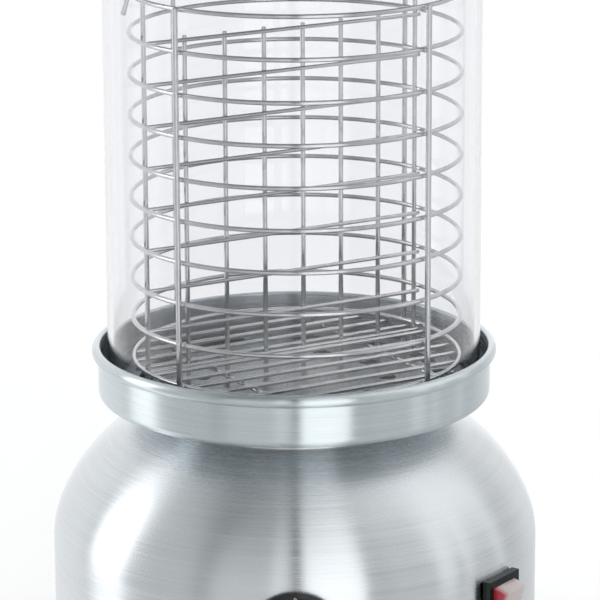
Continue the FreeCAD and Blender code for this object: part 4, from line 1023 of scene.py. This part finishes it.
@dataclass
class Tank:
    """The drawn water tank, whose rim carries the pan, with the studs under it."""

    sheet: float = 1 * MM
    body_radius: float = 68.5 * MM
    floor_height: float = 70 * MM
    corner: float = 3 * MM
    edge: float = 0.4 * MM
    stud_radius: float = 2 * MM
    stud_circle: float = 73.2 * MM
    stud_length: float = 8 * MM
    stud_azimuth: float = math.radians(60)
    stud_count: int = 3
    clamp_stud_radius: float = 3 * MM
    clamp_stud_sides: int = 32
    stud_sides: int = 24
    steps: int = 192

    def build(self) -> None:
        """Builds the pot with its studs."""
        reach = Reach("water_tank")
        rim, top = reach.radius, reach.high.z
        land = Reach("base_housing").high.z
        sheet, corner, wall, floor = self.sheet, self.corner, self.body_radius, self.floor_height
        blank = Blank()
        blank.turn([
            Corner(0, floor),
            Corner(wall - corner, floor),
            Corner(wall, floor + corner, corner),
            Corner(wall, land),
            Corner(rim, land),
            Corner(rim, top - self.edge),
            Corner(rim - self.edge, top, self.edge, 3),
            Corner(rim - sheet, top),
            Corner(rim - sheet, land + sheet),
            Corner(wall - sheet, land + sheet),
            Corner(wall - sheet, floor + corner),
            Corner(wall - corner, floor + sheet, sheet - corner),
            Corner(0, floor + sheet),
        ], self.steps, closed=False)
        down = Matrix.Translation((0, 0, reach.low.z))
        blank.disc(down, self.clamp_stud_radius, floor - reach.low.z, self.edge, self.clamp_stud_sides)
        for azimuth in azimuths(self.stud_azimuth, self.stud_count):
            low = Matrix.Translation(polar(self.stud_circle, azimuth, land - self.stud_length))
            blank.disc(low, self.stud_radius, self.stud_length, self.edge, self.stud_sides)
        blank.finish("tank_pot", "root", Finishes.TANK, "tank_steel", "water_tank")


@dataclass
class Pan:
    """The spun pan with its rolled rim and throat, and the slotted steam plate in it."""

    sheet: float = 1.2 * MM
    wall_radius: float = 105.3 * MM
    corner: float = 4.5 * MM
    wall_height: float = 22.4 * MM
    rim_under: float = 3.2 * MM
    rim_over: float = 3.2 * MM
    rim_land: float = 1.5 * MM
    rim_arc: float = 3.3 * MM
    throat_radius: float = 62 * MM
    throat_depth: float = 9 * MM
    throat_bend: float = 3 * MM
    rim_steps: int = 12
    steps: int = 288

    def build(self) -> None:
        """Builds the pan and dresses the steam plate."""
        reach = Reach("drip_pan")
        sheet, corner, wall, bend = self.sheet, self.corner, self.wall_radius, self.throat_bend
        low = reach.low.z + self.throat_depth
        lip_low = low + self.wall_height
        lip_wide = lip_low + self.rim_under
        lip_top = lip_wide + self.rim_over
        out = self.throat_radius + sheet
        blank = Blank()
        blank.turn([
            Corner(out, reach.low.z),
            Corner(out, low - bend),
            Corner(out + bend, low, -bend),
            Corner(wall - corner, low),
            Corner(wall, low + corner, corner),
            Corner(wall, lip_low),
            Corner(reach.radius, lip_wide, self.rim_arc, self.rim_steps),
            Corner(wall + self.rim_land - sheet, lip_top, self.rim_arc, self.rim_steps),
            Corner(wall - sheet, lip_top - self.rim_land, self.rim_land),
            Corner(wall - sheet, low + corner),
            Corner(wall - corner, low + sheet, sheet - corner),
            Corner(out + bend, low + sheet),
            Corner(self.throat_radius, low - bend, bend + sheet),
            Corner(self.throat_radius, reach.low.z),
        ], self.steps)
        blank.finish("pan_dish", "pan", Finishes.PAN, "pan_aluminium", "drip_pan")
        Finishes.PLATE.cover("steam_plate")


@dataclass
class GlassCylinder:
    """The open glass cylinder, with both edges fire-polished.

    Attributes:
        wall: The glass's thickness.
        edge: The radius of its rounded edges.
        run: A short run next to each edge, which keeps the long walls' shading straight.
        steps: The facets round it.
    """

    wall: float = 3 * MM
    edge: float = 1.4 * MM
    run: float = 1 * MM
    steps: int = 288

    def build(self) -> None:
        """Builds the cylinder."""
        reach = Reach("glass_cylinder")
        outside, low, high = reach.radius, reach.low.z, reach.high.z
        inside = outside - self.wall
        edge, run = self.edge, self.edge + self.run
        blank = Blank()
        blank.turn([
            Corner(inside + edge, low, edge),
            Corner(outside - edge, low),
            Corner(outside, low + edge, edge),
            Corner(outside, low + run),
            Corner(outside, high - run),
            Corner(outside, high - edge),
            Corner(outside - edge, high, edge),
            Corner(inside + edge, high),
            Corner(inside, high - edge, edge),
            Corner(inside, high - run),
            Corner(inside, low + run),
            Corner(inside, low + edge),
        ], self.steps)
        blank.finish("glass_wall", "glass", Finishes.GLASS, "glass", "glass_cylinder")


@dataclass
class Basket:
    """Ten wire rings with four uprights welded outside them and a floor of wires."""

    shift: float = 1.5 * MM
    ring_radius: float = 87.5 * MM
    ring_wire: float = 1.25 * MM
    ring_pitch: float = 22 * MM
    ring_count: int = 10
    ring_steps: int = 160
    ring_sides: int = 14
    upright_wire: float = 1.5 * MM
    upright_count: int = 4
    upright_azimuth: float = math.radians(-42)
    weld_sink: float = 0.15 * MM
    bead: float = 1.0 * MM
    floor_wire: float = 1.25 * MM
    floor_pitch: float = 15 * MM
    floor_inset: float = 0.6 * MM
    floor_sides: int = 12
    cross_offset: float = 47 * MM
    divider_angle: float = math.radians(29.8)
    divider_back: float = 13 * MM

    def build(self) -> None:
        """Builds the rings, the uprights with their welds, and the floor."""
        self.rings()
        self.uprights()
        self.floor()

    @property
    def place(self) -> Matrix:
        """Where the basket's middle stands."""
        return Matrix.Translation((self.shift, 0, 0))

    @cached_property
    def low_ring(self) -> float:
        """The height of the lowest ring, from the frame."""
        return Reach("basket_rings").low.z + self.ring_wire

    def ring_level(self, index: int) -> float:
        """The height of a ring, counted from the lowest."""
        return self.low_ring + index * self.ring_pitch

    def rings(self) -> None:
        """The closed rings, one above the other."""
        blank = Blank()
        for index in range(self.ring_count):
            blank.ring(self.ring_radius, self.ring_level(index), self.ring_wire, self.ring_steps,
                       self.ring_sides)
        blank.move(self.place)
        blank.finish("basket_ring_set", "basket", Finishes.WIRE, "wire_steel", "basket_rings")

    def uprights(self) -> None:
        """The uprights, with a small bead on both sides of each crossing."""
        reach = Reach("basket_uprights")
        blank = Blank()
        circle = self.ring_radius + self.ring_wire + self.upright_wire - self.weld_sink
        seam = self.ring_radius + self.ring_wire
        side = self.upright_wire * BEAD_SPREAD / circle
        for azimuth in azimuths(self.upright_azimuth, self.upright_count):
            post = WireBender(blank, polar(circle, azimuth, reach.low.z), UP, self.upright_wire)
            post.run(reach.high.z - reach.low.z).end()
            for index in range(self.ring_count):
                for turn in (-side, side):
                    blank.bead(polar(seam, azimuth + turn, self.ring_level(index)), self.bead)
        blank.move(self.place)
        blank.finish("basket_upright_set", "basket", Finishes.WIRE, "wire_steel", "basket_uprights")

    def floor(self) -> None:
        """Parallel wires along the divider, tied by two cross wires under them."""
        blank = Blank()
        reach = self.ring_radius + self.ring_wire - self.floor_inset
        level = self.ring_level(0) - self.ring_wire - self.floor_wire + self.weld_sink
        below = level - self.floor_wire * 2 + self.weld_sink
        before = int((reach + self.divider_back) // self.floor_pitch)
        after = int((reach - self.divider_back) // self.floor_pitch)
        first = self.divider_back + self.floor_pitch / 2
        wires = [(ALONG_X, ALONG_Y, level, first + self.floor_pitch * step)
                 for step in range(-before, after)]
        wires += [(ALONG_Y, ALONG_X, below, side * self.cross_offset) for side in (-1, 1)]
        for along, aside, height, offset in wires:
            half = math.sqrt(reach ** 2 - offset ** 2)
            start = UP * height + aside * offset - along * half
            WireBender(blank, start, along, self.floor_wire, self.floor_sides).run(2 * half).end()
        blank.move(self.place @ Matrix.Rotation(self.divider_angle, 4, "Z"))
        blank.finish("basket_floor_wires", "basket", Finishes.WIRE, "wire_steel", "basket_floor")


@dataclass
class Divider:
    """The flat welded grid that drops in across the basket and hooks over its top ring."""

    basket: Basket
    wire: float = 1.3 * MM
    bar_wire: float = 1.1 * MM
    bar_sides: int = 12
    bar_drop: float = 2 * MM
    bar_spare: float = 1.8 * MM
    gap: float = 23.6 * MM
    wire_count: int = 8
    top_spare: float = 2 * MM
    hook_radius: float = 4.1 * MM
    hook_lean: float = math.radians(14)
    hook_leg: float = 8.6 * MM
    hook_clearance: float = 0.3 * MM
    hook_steps: int = 18
    bead: float = 0.75 * MM

    def build(self) -> None:
        """Builds the inner wires, the bars with their welds, and the two hooked end wires."""
        self.low = Reach("divider_wires").low.z
        self.swing = self.basket.place @ Matrix.Rotation(self.basket.divider_angle, 4, "Z")
        self.inner_wires()
        self.bars()
        self.hooks()

    def bar_level(self, index: int) -> float:
        """The height of a bar, counted from the lowest."""
        return self.basket.ring_level(index) - self.bar_drop

    def wire_across(self, index: int) -> float:
        """A wire's offset along the grid."""
        return self.gap * (index - (self.wire_count - 1) / 2)

    def inner_wires(self) -> None:
        """The straight wires between the two hooked ones."""
        blank = Blank()
        tall = self.bar_level(self.basket.ring_count - 2) + self.top_spare - self.low
        for index in range(1, self.wire_count - 1):
            foot = Vector((self.wire_across(index), self.basket.divider_back, self.low))
            WireBender(blank, foot, UP, self.wire).run(tall).end()
        blank.move(self.swing)
        blank.finish("divider_wire_set", "divider", Finishes.WIRE, "wire_steel", "divider_wires")

    def bars(self) -> None:
        """The cross bars, welded to the front of the wires."""
        blank = Blank()
        half = self.wire_across(self.wire_count - 1) + self.bar_spare
        seam = self.basket.divider_back - self.wire
        offset = seam - self.bar_wire + self.basket.weld_sink
        side = self.wire * BEAD_SPREAD
        for row in range(self.basket.ring_count - 1):
            level = self.bar_level(row)
            start = Vector((-half, offset, level))
            WireBender(blank, start, ALONG_X, self.bar_wire, self.bar_sides).run(2 * half).end()
            for index in range(self.wire_count):
                for across in (self.wire_across(index) - side, self.wire_across(index) + side):
                    blank.bead(Vector((across, seam, level)), self.bead)
        blank.move(self.swing)
        blank.finish("divider_bar_set", "divider", Finishes.WIRE, "wire_steel", "divider_bars")

    def hooks(self) -> None:
        """The end wires, which arch outward over the top ring and come down outside it."""
        across = self.wire_across(self.wire_count - 1)
        circle = math.hypot(across, self.basket.divider_back)
        skew = math.atan2(self.basket.divider_back, across)
        top = self.basket.ring_level(self.basket.ring_count - 1) + self.basket.ring_wire
        arch = top + self.hook_clearance - (self.hook_radius - self.wire)
        centre = Vector((circle + self.hook_radius, 0, arch))
        for side, angle in (("right", skew), ("left", math.pi - skew)):
            blank = Blank()
            bender = WireBender(blank, Vector((circle, 0, self.low)), UP, self.wire)
            bender.run(arch - self.low).bend(centre, ALONG_Y, math.pi - self.hook_lean, self.hook_steps)
            bender.run(self.hook_leg).end()
            blank.move(self.swing @ Matrix.Rotation(angle, 4, "Z"))
            blank.finish(f"divider_hook_wire_{side}", "divider", Finishes.WIRE, "wire_steel",
                         f"divider_hook_{side}")


@dataclass
class Lid:
    """The spun lid with its turned knob, washer and screw."""

    sheet: float = 1.2 * MM
    bend: float = 3 * MM
    ledge: float = 11 * MM
    rise: float = 19 * MM
    skirt: float = 9 * MM
    hole: float = 2.7 * MM
    hem: float = 0.5 * MM
    knob_base_radius: float = 10 * MM
    knob_waist_radius: float = 8 * MM
    knob_base: float = 4 * MM
    knob_cap: float = 9 * MM
    knob_screw: float = 2.5 * MM
    screw_grip: float = 14 * MM
    knob_edge: float = 1.2 * MM
    knob_waist_steps: int = 12
    knob_cap_steps: int = 18
    knob_steps: int = 96
    dome_steps: int = 28
    steps: int = 256

    def build(self) -> None:
        """Builds the cover and the knob and dresses the fasteners."""
        self.cover()
        self.knob()
        Finishes.ZINC.cover("lid_washer", "lid_screw")

    def cover(self) -> None:
        """The skirt, the ledge that rests on the glass and the low dome."""
        reach = Reach("lid")
        outside, low, sheet, bend = reach.radius, reach.low.z, self.sheet, self.bend
        ledge = low + self.skirt + sheet
        foot = outside - self.ledge
        arc = (foot ** 2 + self.rise ** 2) / (2 * self.rise)
        centre = ledge + self.rise - arc
        inner = arc - sheet
        inner_foot = math.sqrt(inner ** 2 - (ledge - sheet - centre) ** 2)
        blank = Blank()
        blank.turn([
            Corner(outside - sheet, low),
            Corner(outside - self.hem, low),
            Corner(outside, low + self.hem, self.hem, 4),
            Corner(outside, ledge - bend),
            Corner(outside - bend, ledge, bend),
            Corner(foot, ledge),
            Corner(self.hole, centre + math.sqrt(arc ** 2 - self.hole ** 2), arc, self.dome_steps),
            Corner(self.hole, centre + math.sqrt(inner ** 2 - self.hole ** 2)),
            Corner(inner_foot, ledge - sheet, -inner, self.dome_steps),
            Corner(outside - bend, ledge - sheet),
            Corner(outside - sheet, ledge - bend, sheet - bend),
        ], self.steps)
        blank.finish("lid_cover", "lid", Finishes.LID, "lid_aluminium", "lid")

    def knob(self) -> None:
        """A turned knob: a foot, a waist and a mushroom cap with an eased rim."""
        reach = Reach("lid_knob")
        radius, low, high = reach.radius, reach.low.z, reach.high.z
        cap_low = high - self.knob_cap
        cap_arc = (radius ** 2 + self.knob_cap ** 2) / (2 * self.knob_cap)
        blank = Blank()
        blank.turn([
            Corner(self.knob_screw, low),
            Corner(self.knob_base_radius, low),
            Corner(self.knob_base_radius, low + self.knob_base / 2),
            Corner(self.knob_waist_radius, low + self.knob_base),
            Corner(radius, cap_low, low + self.knob_base - high, self.knob_waist_steps),
            Corner(0, high, cap_arc, self.knob_cap_steps),
            Corner(0, low + self.screw_grip),
            Corner(self.knob_screw, low + self.screw_grip),
        ], self.knob_steps)
        blank.ease(blank.rim(UP, cap_low), self.knob_edge, 4)
        blank.finish("lid_knob_cap", "lid", Finishes.KNOB, "knob_plastic", "lid_knob")


@dataclass
class Dial:
    """The thermostat's knob: a skirt with plain numbers and a fluted grip with a pointer."""

    skirt_height: float = 3.5 * MM
    skirt_taper: float = 2 * MM
    grip_radius: float = 20 * MM
    grip_taper: float = 1.5 * MM
    grip_edge: float = 1.4 * MM
    flute_count: int = 16
    flute_radius: float = 2.2 * MM
    flute_share: float = 0.86
    flute_depth: float = 1.1 * MM
    gap: float = 0.4 * MM
    numbers: tuple[str, ...] = ("0", "1", "2", "3", "4", "5", "6")
    number_size: float = 3.4 * MM
    number_sweep: float = math.radians(270)
    pointer_middle: float = 12.4 * MM
    pointer_length: float = 10 * MM
    paint: float = 0.08 * MM
    steps: int = 128

    def build(self) -> None:
        """Builds the knob and its marks and dresses the shaft."""
        reach = Reach("thermostat_knob")
        casing = Reach("base_housing")
        self.radius = reach.radius
        self.height = -reach.low.y - casing.radius
        self.place = facing_front(0, casing.radius, reach.middle.z, 0)
        self.grip()
        self.marks()
        Finishes.ZINC.cover("thermostat_shaft")

    def grip(self) -> None:
        """A turned skirt with a fluted grip on it."""
        top = self.gap + self.skirt_height
        blank = Blank()
        blank.turn([
            Corner(0, self.gap),
            Corner(self.radius - self.paint, self.gap),
            Corner(self.radius, self.gap + self.paint),
            Corner(self.radius, self.gap + self.skirt_height / 2),
            Corner(self.radius - self.skirt_taper, top),
            Corner(0, top),
        ], self.steps, closed=False)
        radius = self.grip_radius
        half = self.flute_radius * self.flute_share / radius
        far = FULL_TURN / self.flute_count - half
        across, up = radius * math.cos(half), radius * math.sin(half)
        sector = Blank()
        route = sector.outline([
            Corner(across, -up),
            Corner(across, up, -self.flute_radius),
            Corner(radius * math.cos(far), radius * math.sin(far), radius),
        ], closed=False)
        sector.move(Matrix.Rotation(-QUARTER_TURN, 4, "X"))
        spun(sector.bm, route, ORIGIN, UP, FULL_TURN, self.flute_count, use_duplicate=True)
        bmesh.ops.remove_doubles(sector.bm, verts=sector.bm.verts, dist=SEAM_DISTANCE)
        sector.move(Matrix.Translation((0, 0, top)))
        cap = sector.thicken(UP * (self.height - top))
        shrink = 1 - self.grip_taper / radius
        bmesh.ops.scale(sector.bm, vec=(shrink, shrink, 1), verts=cap.verts)
        sector.ease(list(cap.edges), self.grip_edge, 4)
        blank.take_in(sector)
        blank.move(self.place)
        blank.finish("dial_knob", "knob", Finishes.KNOB, "knob_plastic", "thermostat_knob")

    def marks(self) -> None:
        """White numbers on the skirt and a pointer line on the grip."""
        blank = Blank()
        top = self.gap + self.skirt_height
        circle = (self.radius - self.skirt_taper + self.grip_radius) / 2 + self.flute_depth / 2
        for index, text in enumerate(self.numbers):
            turn = -self.number_sweep * index / (len(self.numbers) - 1)
            place = Matrix.Rotation(turn, 4, "Z") @ Matrix.Translation((0, circle, top))
            written(blank, text, self.number_size, self.paint, place)
        line = Matrix.Diagonal((self.number_size / 3, self.pointer_length, self.paint, 1))
        middle = Matrix.Translation((0, self.pointer_middle, self.height))
        bmesh.ops.create_cube(blank.bm, size=1, matrix=middle @ line)
        blank.move(self.place)
        blank.finish("dial_marks", "knob", Finishes.MARKING, "knob_plastic")


def written(blank: Blank, text: str, size: float, depth: float, place: Matrix) -> None:
    """Adds raised lettering to a mesh.

    Args:
        blank: The mesh that gets it.
        text: What is written.
        size: The height of the letters.
        depth: How far they stand out.
        place: The frame of the middle of the text.
    """
    curve = bpy.data.curves.new("lettering", "FONT")
    curve.body = text
    curve.size = size
    curve.extrude = depth
    curve.align_x = "CENTER"
    curve.align_y = "CENTER"
    holder = placed("lettering", curve)
    mesh = evaluated(holder)
    mesh.transform(place)
    blank.bm.from_mesh(mesh)
    bpy.data.objects.remove(holder)
    bpy.data.meshes.remove(mesh)


@dataclass
class RockerSwitch:
    """The rocker switch: a satin bezel with its body, and a translucent rocker marked 0 and I."""

    bezel_width: float = 28 * MM
    bezel_tall: float = 31 * MM
    bezel_depth: float = 4.4 * MM
    bezel_gap: float = 0.1 * MM
    bezel_edge: float = 0.9 * MM
    body_width: float = 24 * MM
    body_tall: float = 27 * MM
    body_depth: float = 26 * MM
    well_width: float = 21.2 * MM
    well_tall: float = 24.6 * MM
    well_depth: float = 12 * MM
    rocker_width: float = 20.6 * MM
    rocker_half: float = 12 * MM
    rocker_end_half: float = 10.6 * MM
    rocker_stand: float = 7.9 * MM
    rocker_valley: float = 6.9 * MM
    rocker_rear: float = 5 * MM
    rocker_rear_half: float = 8.4 * MM
    rocker_edge: float = 0.7 * MM
    pivot_depth: float = 2.6 * MM
    pin_radius: float = 1.4 * MM
    pin_length: float = 1.1 * MM
    pin_sides: int = 24
    hollow_steps: int = 14
    tilt: float = math.radians(9)
    round_from: float = math.radians(25)
    mark_size: float = 4.6 * MM
    mark_height: float = 5.83 * MM
    paint: float = 0.06 * MM

    def build(self, azimuth: float, height: float) -> None:
        """Builds the frame, the rocker and its marks.

        Args:
            azimuth: The switch's angle from the front.
            height: The height of its middle.
        """
        back = Reach("base_housing").radius + self.bezel_gap
        self.place = facing_front(0, back, height, azimuth)
        self.pivot = self.place @ Matrix.Translation((0, 0, self.bezel_depth - self.pivot_depth))
        self.frame()
        self.rocker()
        Finishes.BRASS.cover("switch_terminals")

    def frame(self) -> None:
        """The body behind the wall, the bezel outside it and the well in both."""
        blank = Blank()
        front = self.bezel_depth
        blank.stack(self.place, [
            (self.body_width, self.body_tall, -self.body_depth),
            (self.body_width, self.body_tall, 0),
            (self.bezel_width, self.bezel_tall, 0),
            (self.bezel_width, self.bezel_tall, front),
            (self.well_width, self.well_tall, front),
            (self.well_width, self.well_tall, front - self.well_depth),
        ])
        outward = self.place.to_3x3() @ UP
        blank.ease(blank.rim(outward, (self.place @ (UP * front)).dot(outward)), self.bezel_edge, 4)
        blank.finish("switch_bezel", "root", Finishes.BEZEL, "black_plastic", "switch_frame")

    def rocker(self) -> None:
        """One lever with a hollow face, eased edges and a pivot pin at each side, and its two marks."""
        sag = self.rocker_stand - self.rocker_valley
        hollow = (self.rocker_end_half ** 2 + sag ** 2) / (2 * sag)
        lever = Blank()
        lever.outline([
            Corner(-self.rocker_rear, -self.rocker_rear_half),
            Corner(0, -self.rocker_half),
            Corner(self.rocker_stand, -self.rocker_end_half),
            Corner(self.rocker_stand, self.rocker_end_half, -hollow, self.hollow_steps),
            Corner(0, self.rocker_half),
            Corner(-self.rocker_rear, self.rocker_rear_half),
        ])
        lever.move(Matrix.Translation((0, -self.rocker_width / 2, 0)))
        lever.thicken(ALONG_Y * self.rocker_width)
        bmesh.ops.recalc_face_normals(lever.bm, faces=lever.bm.faces)
        lever.ease(lever.sharp_edges(self.round_from), self.rocker_edge, 4)
        xyz_to_yzx = Matrix(((0, 1, 0, 0), (0, 0, 1, 0), (1, 0, 0, 0), (0, 0, 0, 1)))
        lean = Matrix.Rotation(self.tilt, 4, "X")
        lever.move(self.pivot @ lean @ xyz_to_yzx)
        for sign in (-1, 1):
            aside = Matrix.Translation((sign * (self.rocker_width / 2 - self.pin_length), 0, 0))
            start = self.pivot @ aside @ Matrix.Rotation(sign * QUARTER_TURN, 4, "Y")
            lever.disc(start, self.pin_radius, 2 * self.pin_length, self.paint, self.pin_sides)
        lever.finish("rocker_lever", "rocker", Finishes.ROCKER, "rocker_plastic", "switch_rocker")
        marks = Blank()
        for text, height in (("I", self.mark_height), ("0", -self.mark_height)):
            slope = math.asin(height / hollow)
            out = self.rocker_valley + hollow - math.sqrt(hollow ** 2 - height ** 2)
            spot = Matrix.Translation((0, height, out)) @ Matrix.Rotation(-slope, 4, "X")
            written(marks, text, self.mark_size, self.paint, self.pivot @ lean @ spot)
        marks.finish("rocker_marks", "rocker", Finishes.MARKING, "rocker_plastic")


@dataclass
class Inlet:
    """The empty cord gland at the back, with its nut and the terminal block inside."""

    bore: float = 3.6 * MM
    entry: float = 4.8 * MM
    entry_end: float = 1.2 * MM
    barrel: float = 6.8 * MM
    barrel_length: float = 9 * MM
    flange_radius: float = 10 * MM
    flange: float = 3 * MM
    nose: float = 8 * MM
    nose_radius: float = 7 * MM
    edge: float = 0.6 * MM
    gap: float = 0.15 * MM
    steps: int = 64

    def build(self, height: float) -> None:
        """Builds the gland at a height and dresses what is behind it.

        Args:
            height: The height of its axis.
        """
        blank = Blank()
        blank.turn([
            Corner(self.entry, -self.barrel_length),
            Corner(self.barrel, -self.barrel_length),
            Corner(self.barrel, self.gap),
            Corner(self.flange_radius, self.gap),
            Corner(self.flange_radius, self.flange - self.edge),
            Corner(self.flange_radius - self.edge, self.flange, self.edge, 4),
            Corner(self.nose_radius, self.nose - self.edge),
            Corner(self.nose_radius - self.edge, self.nose, self.edge, 4),
            Corner(self.bore + self.edge, self.nose),
            Corner(self.bore, self.nose - self.edge, self.edge, 4),
            Corner(self.bore, self.entry_end),
            Corner(self.entry, self.entry_end),
        ], self.steps)
        blank.move(facing_front(0, Reach("base_housing").radius, height, math.pi))
        blank.finish("gland_collar", "root", Finishes.BLACK, "black_plastic", "cord_gland")
        Finishes.BLACK.cover("gland_nut")
        Finishes.WHITE.cover("terminal_block")


class Innards:
    """The CAD nodes under the housing, whose shapes are kept and only dressed."""

    FINISHES = {
        Finishes.ZINC: ("rim_screws", "foot_screws", "bracket_screws", "hex_nuts", "tank_nuts",
                        "clamp_nut", "neck_nut"),
        Finishes.SHEATH: ("heating_element",),
        Finishes.GALVANISED: ("heater_clamp_plate", "thermostat_bracket"),
        Finishes.BROWN: ("overheat_cutout",),
        Finishes.BLACK: ("thermostat_body",),
        Finishes.COPPER: ("bulb_pocket", "sensor_bulb", "capillary_tube"),
    }

    def build(self) -> None:
        """Covers each node with its finish."""
        for finish, nodes in self.FINISHES.items():
            finish.cover(*nodes)


@dataclass(frozen=True)
class SoftPanel:
    """A tall soft light seen from the object.

    Attributes:
        azimuth: Its middle, in degrees from the front towards the right.
        half_width: Half its width in degrees.
        fade: How softly its sides end, in degrees.
        level: How much brighter than the room it is, or darker where it is negative.
        low: The height, as a share of straight up, at which it starts.
        high: The height at which it ends.
        rise: Over how much height it starts and ends.
    """

    azimuth: float
    half_width: float
    fade: float
    level: float
    low: float = -0.4
    high: float = 1.4
    rise: float = 0.2


@dataclass
class Studio:
    """The plain pale floor and the soft light round the object."""

    floor_radius: float = 8.0
    floor_sides: int = 96
    floor_shade: Triple = (0.58, 0.58, 0.58)
    floor_tones: tuple[float, float] = (0.995, 1.005)
    floor_mottle: float = 6.0
    floor_roughness: float = 0.9
    floor_glow: float = 0.50
    room: Triple = (0.69, 0.705, 0.713)
    darkest: Triple = (0.02, 0.03, 0.03)
    panels: tuple[SoftPanel, ...] = (
        SoftPanel(0, 180, 0, -0.17, low=-1.2, high=0.3, rise=0.35),
        SoftPanel(0, 180, 0, -0.15, low=0.78, rise=0.25),
        SoftPanel(18.5, 14.5, 2, 0.86, low=-1.2, high=1.15, rise=0.6),
        SoftPanel(-99, 11, 5, 0.75, low=-1.2, high=0.95, rise=0.5),
        SoftPanel(-99, 11, 5, 1.4, low=-0.1, high=0.75, rise=0.3),
        SoftPanel(-22, 18, 6, 0.08),
        SoftPanel(-7, 4, 3, 0.34, high=0.9),
        SoftPanel(0.5, 1.5, 1, -0.45),
        SoftPanel(-60, 18, 8, -0.05),
        SoftPanel(-44, 5, 4, -0.15),
        SoftPanel(41, 6, 4, -0.08),
        SoftPanel(75.5, 5, 2.5, 0.34),
        SoftPanel(89, 3, 2, 0.22),
        SoftPanel(111, 4, 3, 0.2),
        SoftPanel(105, 22, 12, 0.52, low=0.2, high=1.2, rise=0.3),
        SoftPanel(58, 14, 8, 0.15, low=0.55, high=1.2, rise=0.25),
        SoftPanel(155, 22, 15, 0.22, high=0.8),
        SoftPanel(-142, 28, 14, 0.3, low=-1.2, high=0.8, rise=0.4),
        SoftPanel(180, 16, 8, 0.3),
        SoftPanel(-15, 42, 22, -0.37, low=0.45, rise=0.3),
        SoftPanel(-100, 48, 20, -0.28, low=0.7, rise=0.3),
    )

    def build(self) -> None:
        """Builds the floor and lights the room."""
        self.floor()
        self.light()
        bpy.context.scene.view_settings.view_transform = "Standard"

    def floor(self) -> None:
        """A wide pale floor that looks white and keeps the object's shadow."""
        blank = Blank()
        bmesh.ops.create_circle(blank.bm, cap_ends=True, segments=self.floor_sides,
                                radius=self.floor_radius)
        floor = placed("floor", blank.mesh("floor"))
        graph = Paint("floor_paint")
        graph.shade(graph.noise(graph.place(), self.floor_mottle), self.floor_shade, self.floor_tones)
        graph.set(Roughness=self.floor_roughness, Emission_Color=WHITE)
        glow = graph.compute("MULTIPLY", graph.seen(), self.floor_glow)
        graph.link(glow, graph.shader.inputs["Emission Strength"])
        graph.pass_on(graph.mirrored())
        floor.data.materials.append(graph.material)

    def light(self) -> None:
        """A world of soft panels, white where it is seen directly."""
        world = bpy.data.worlds.new("studio")
        bpy.context.scene.world = world
        world.use_nodes = True
        graph = Graph(world.node_tree)
        background = graph.tree.nodes["Background"]
        aim = graph.add("ShaderNodeTexCoord").outputs["Generated"]
        parts = graph.fed(graph.add("ShaderNodeSeparateXYZ"), [aim]).outputs
        azimuth = graph.compute("ARCTAN2", parts["X"], graph.compute("MULTIPLY", parts["Y"], -1.0))
        total = 0.0
        for panel in self.panels:
            total = graph.compute("ADD", total, self.panel_light(graph, panel, azimuth, parts["Z"]))
        lit = graph.vector("MAXIMUM", graph.vector("ADD", self.room, total), self.darkest)
        level = graph.add("ShaderNodeMix", data_type="RGBA")
        graph.link(graph.seen(), level.inputs["Factor"])
        graph.link(lit, level.inputs["A"])
        level.inputs["B"].default_value = WHITE
        graph.link(level.outputs["Result"], background.inputs["Color"])
        background.inputs["Strength"].default_value = 1.0

    def panel_light(self, graph: Graph, panel: SoftPanel, azimuth: Socket,
                    height: Socket) -> Socket:
        """The light that one panel adds in a direction.

        Args:
            graph: The world's nodes.
            panel: The panel.
            azimuth: The direction's azimuth in radians.
            height: The direction's height, from -1 to 1.

        Returns:
            The added strength.
        """
        half = math.radians(panel.half_width)
        fade = math.radians(panel.fade)
        apart = graph.compute("SUBTRACT", azimuth, math.radians(panel.azimuth))
        wrapped = graph.compute("ABSOLUTE", graph.compute("WRAP", apart, math.pi, -math.pi))
        total = graph.spread(wrapped, panel.level, 0.0, half - fade, half + fade, "SMOOTHSTEP")
        for start, end in ((panel.low, panel.low + panel.rise), (panel.high, panel.high - panel.rise)):
            within = graph.spread(height, 0.0, 1.0, start, end, "SMOOTHSTEP")
            total = graph.compute("MULTIPLY", total, within)
        return total


@dataclass
class Viewpoint:
    """The camera, at the photograph's place and angle."""

    distance: float = 1.77768
    height: float = 0.681155
    pitch: float = math.radians(14.988)
    yaw: float = -0.00187
    roll: float = -0.0043
    lens: float = 206.07
    sensor: float = 36.0
    near: float = 0.05
    far: float = 40.0

    def build(self) -> None:
        """Makes the scene's camera."""
        data = bpy.data.cameras.new("camera")
        data.lens = self.lens
        data.sensor_width = self.sensor
        data.clip_start = self.near
        data.clip_end = self.far
        camera = placed("camera", data)
        aim = Matrix.Rotation(self.yaw, 4, "Z") @ Matrix.Rotation(QUARTER_TURN - self.pitch, 4, "X")
        place = Matrix.Translation((0, -self.distance, self.height))
        camera.matrix_world = place @ aim @ Matrix.Rotation(self.roll, 4, "Z")
        bpy.context.scene.camera = camera


def main() -> None:
    """Builds the steamer from the table up, then the studio."""
    logging.basicConfig(level=logging.INFO, format="%(name)s: %(message)s")
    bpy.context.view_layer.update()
    casing = Casing()
    casing.build()
    Tank().build()
    Innards().build()
    Inlet().build(casing.gland_height)
    Dial().build()
    RockerSwitch().build(casing.switch_azimuth, casing.control_height)
    Pan().build()
    GlassCylinder().build()
    basket = Basket()
    basket.build()
    Divider(basket).build()
    Lid().build()
    Studio().build()
    Viewpoint().build()


if __name__ == "__main__":
    main()
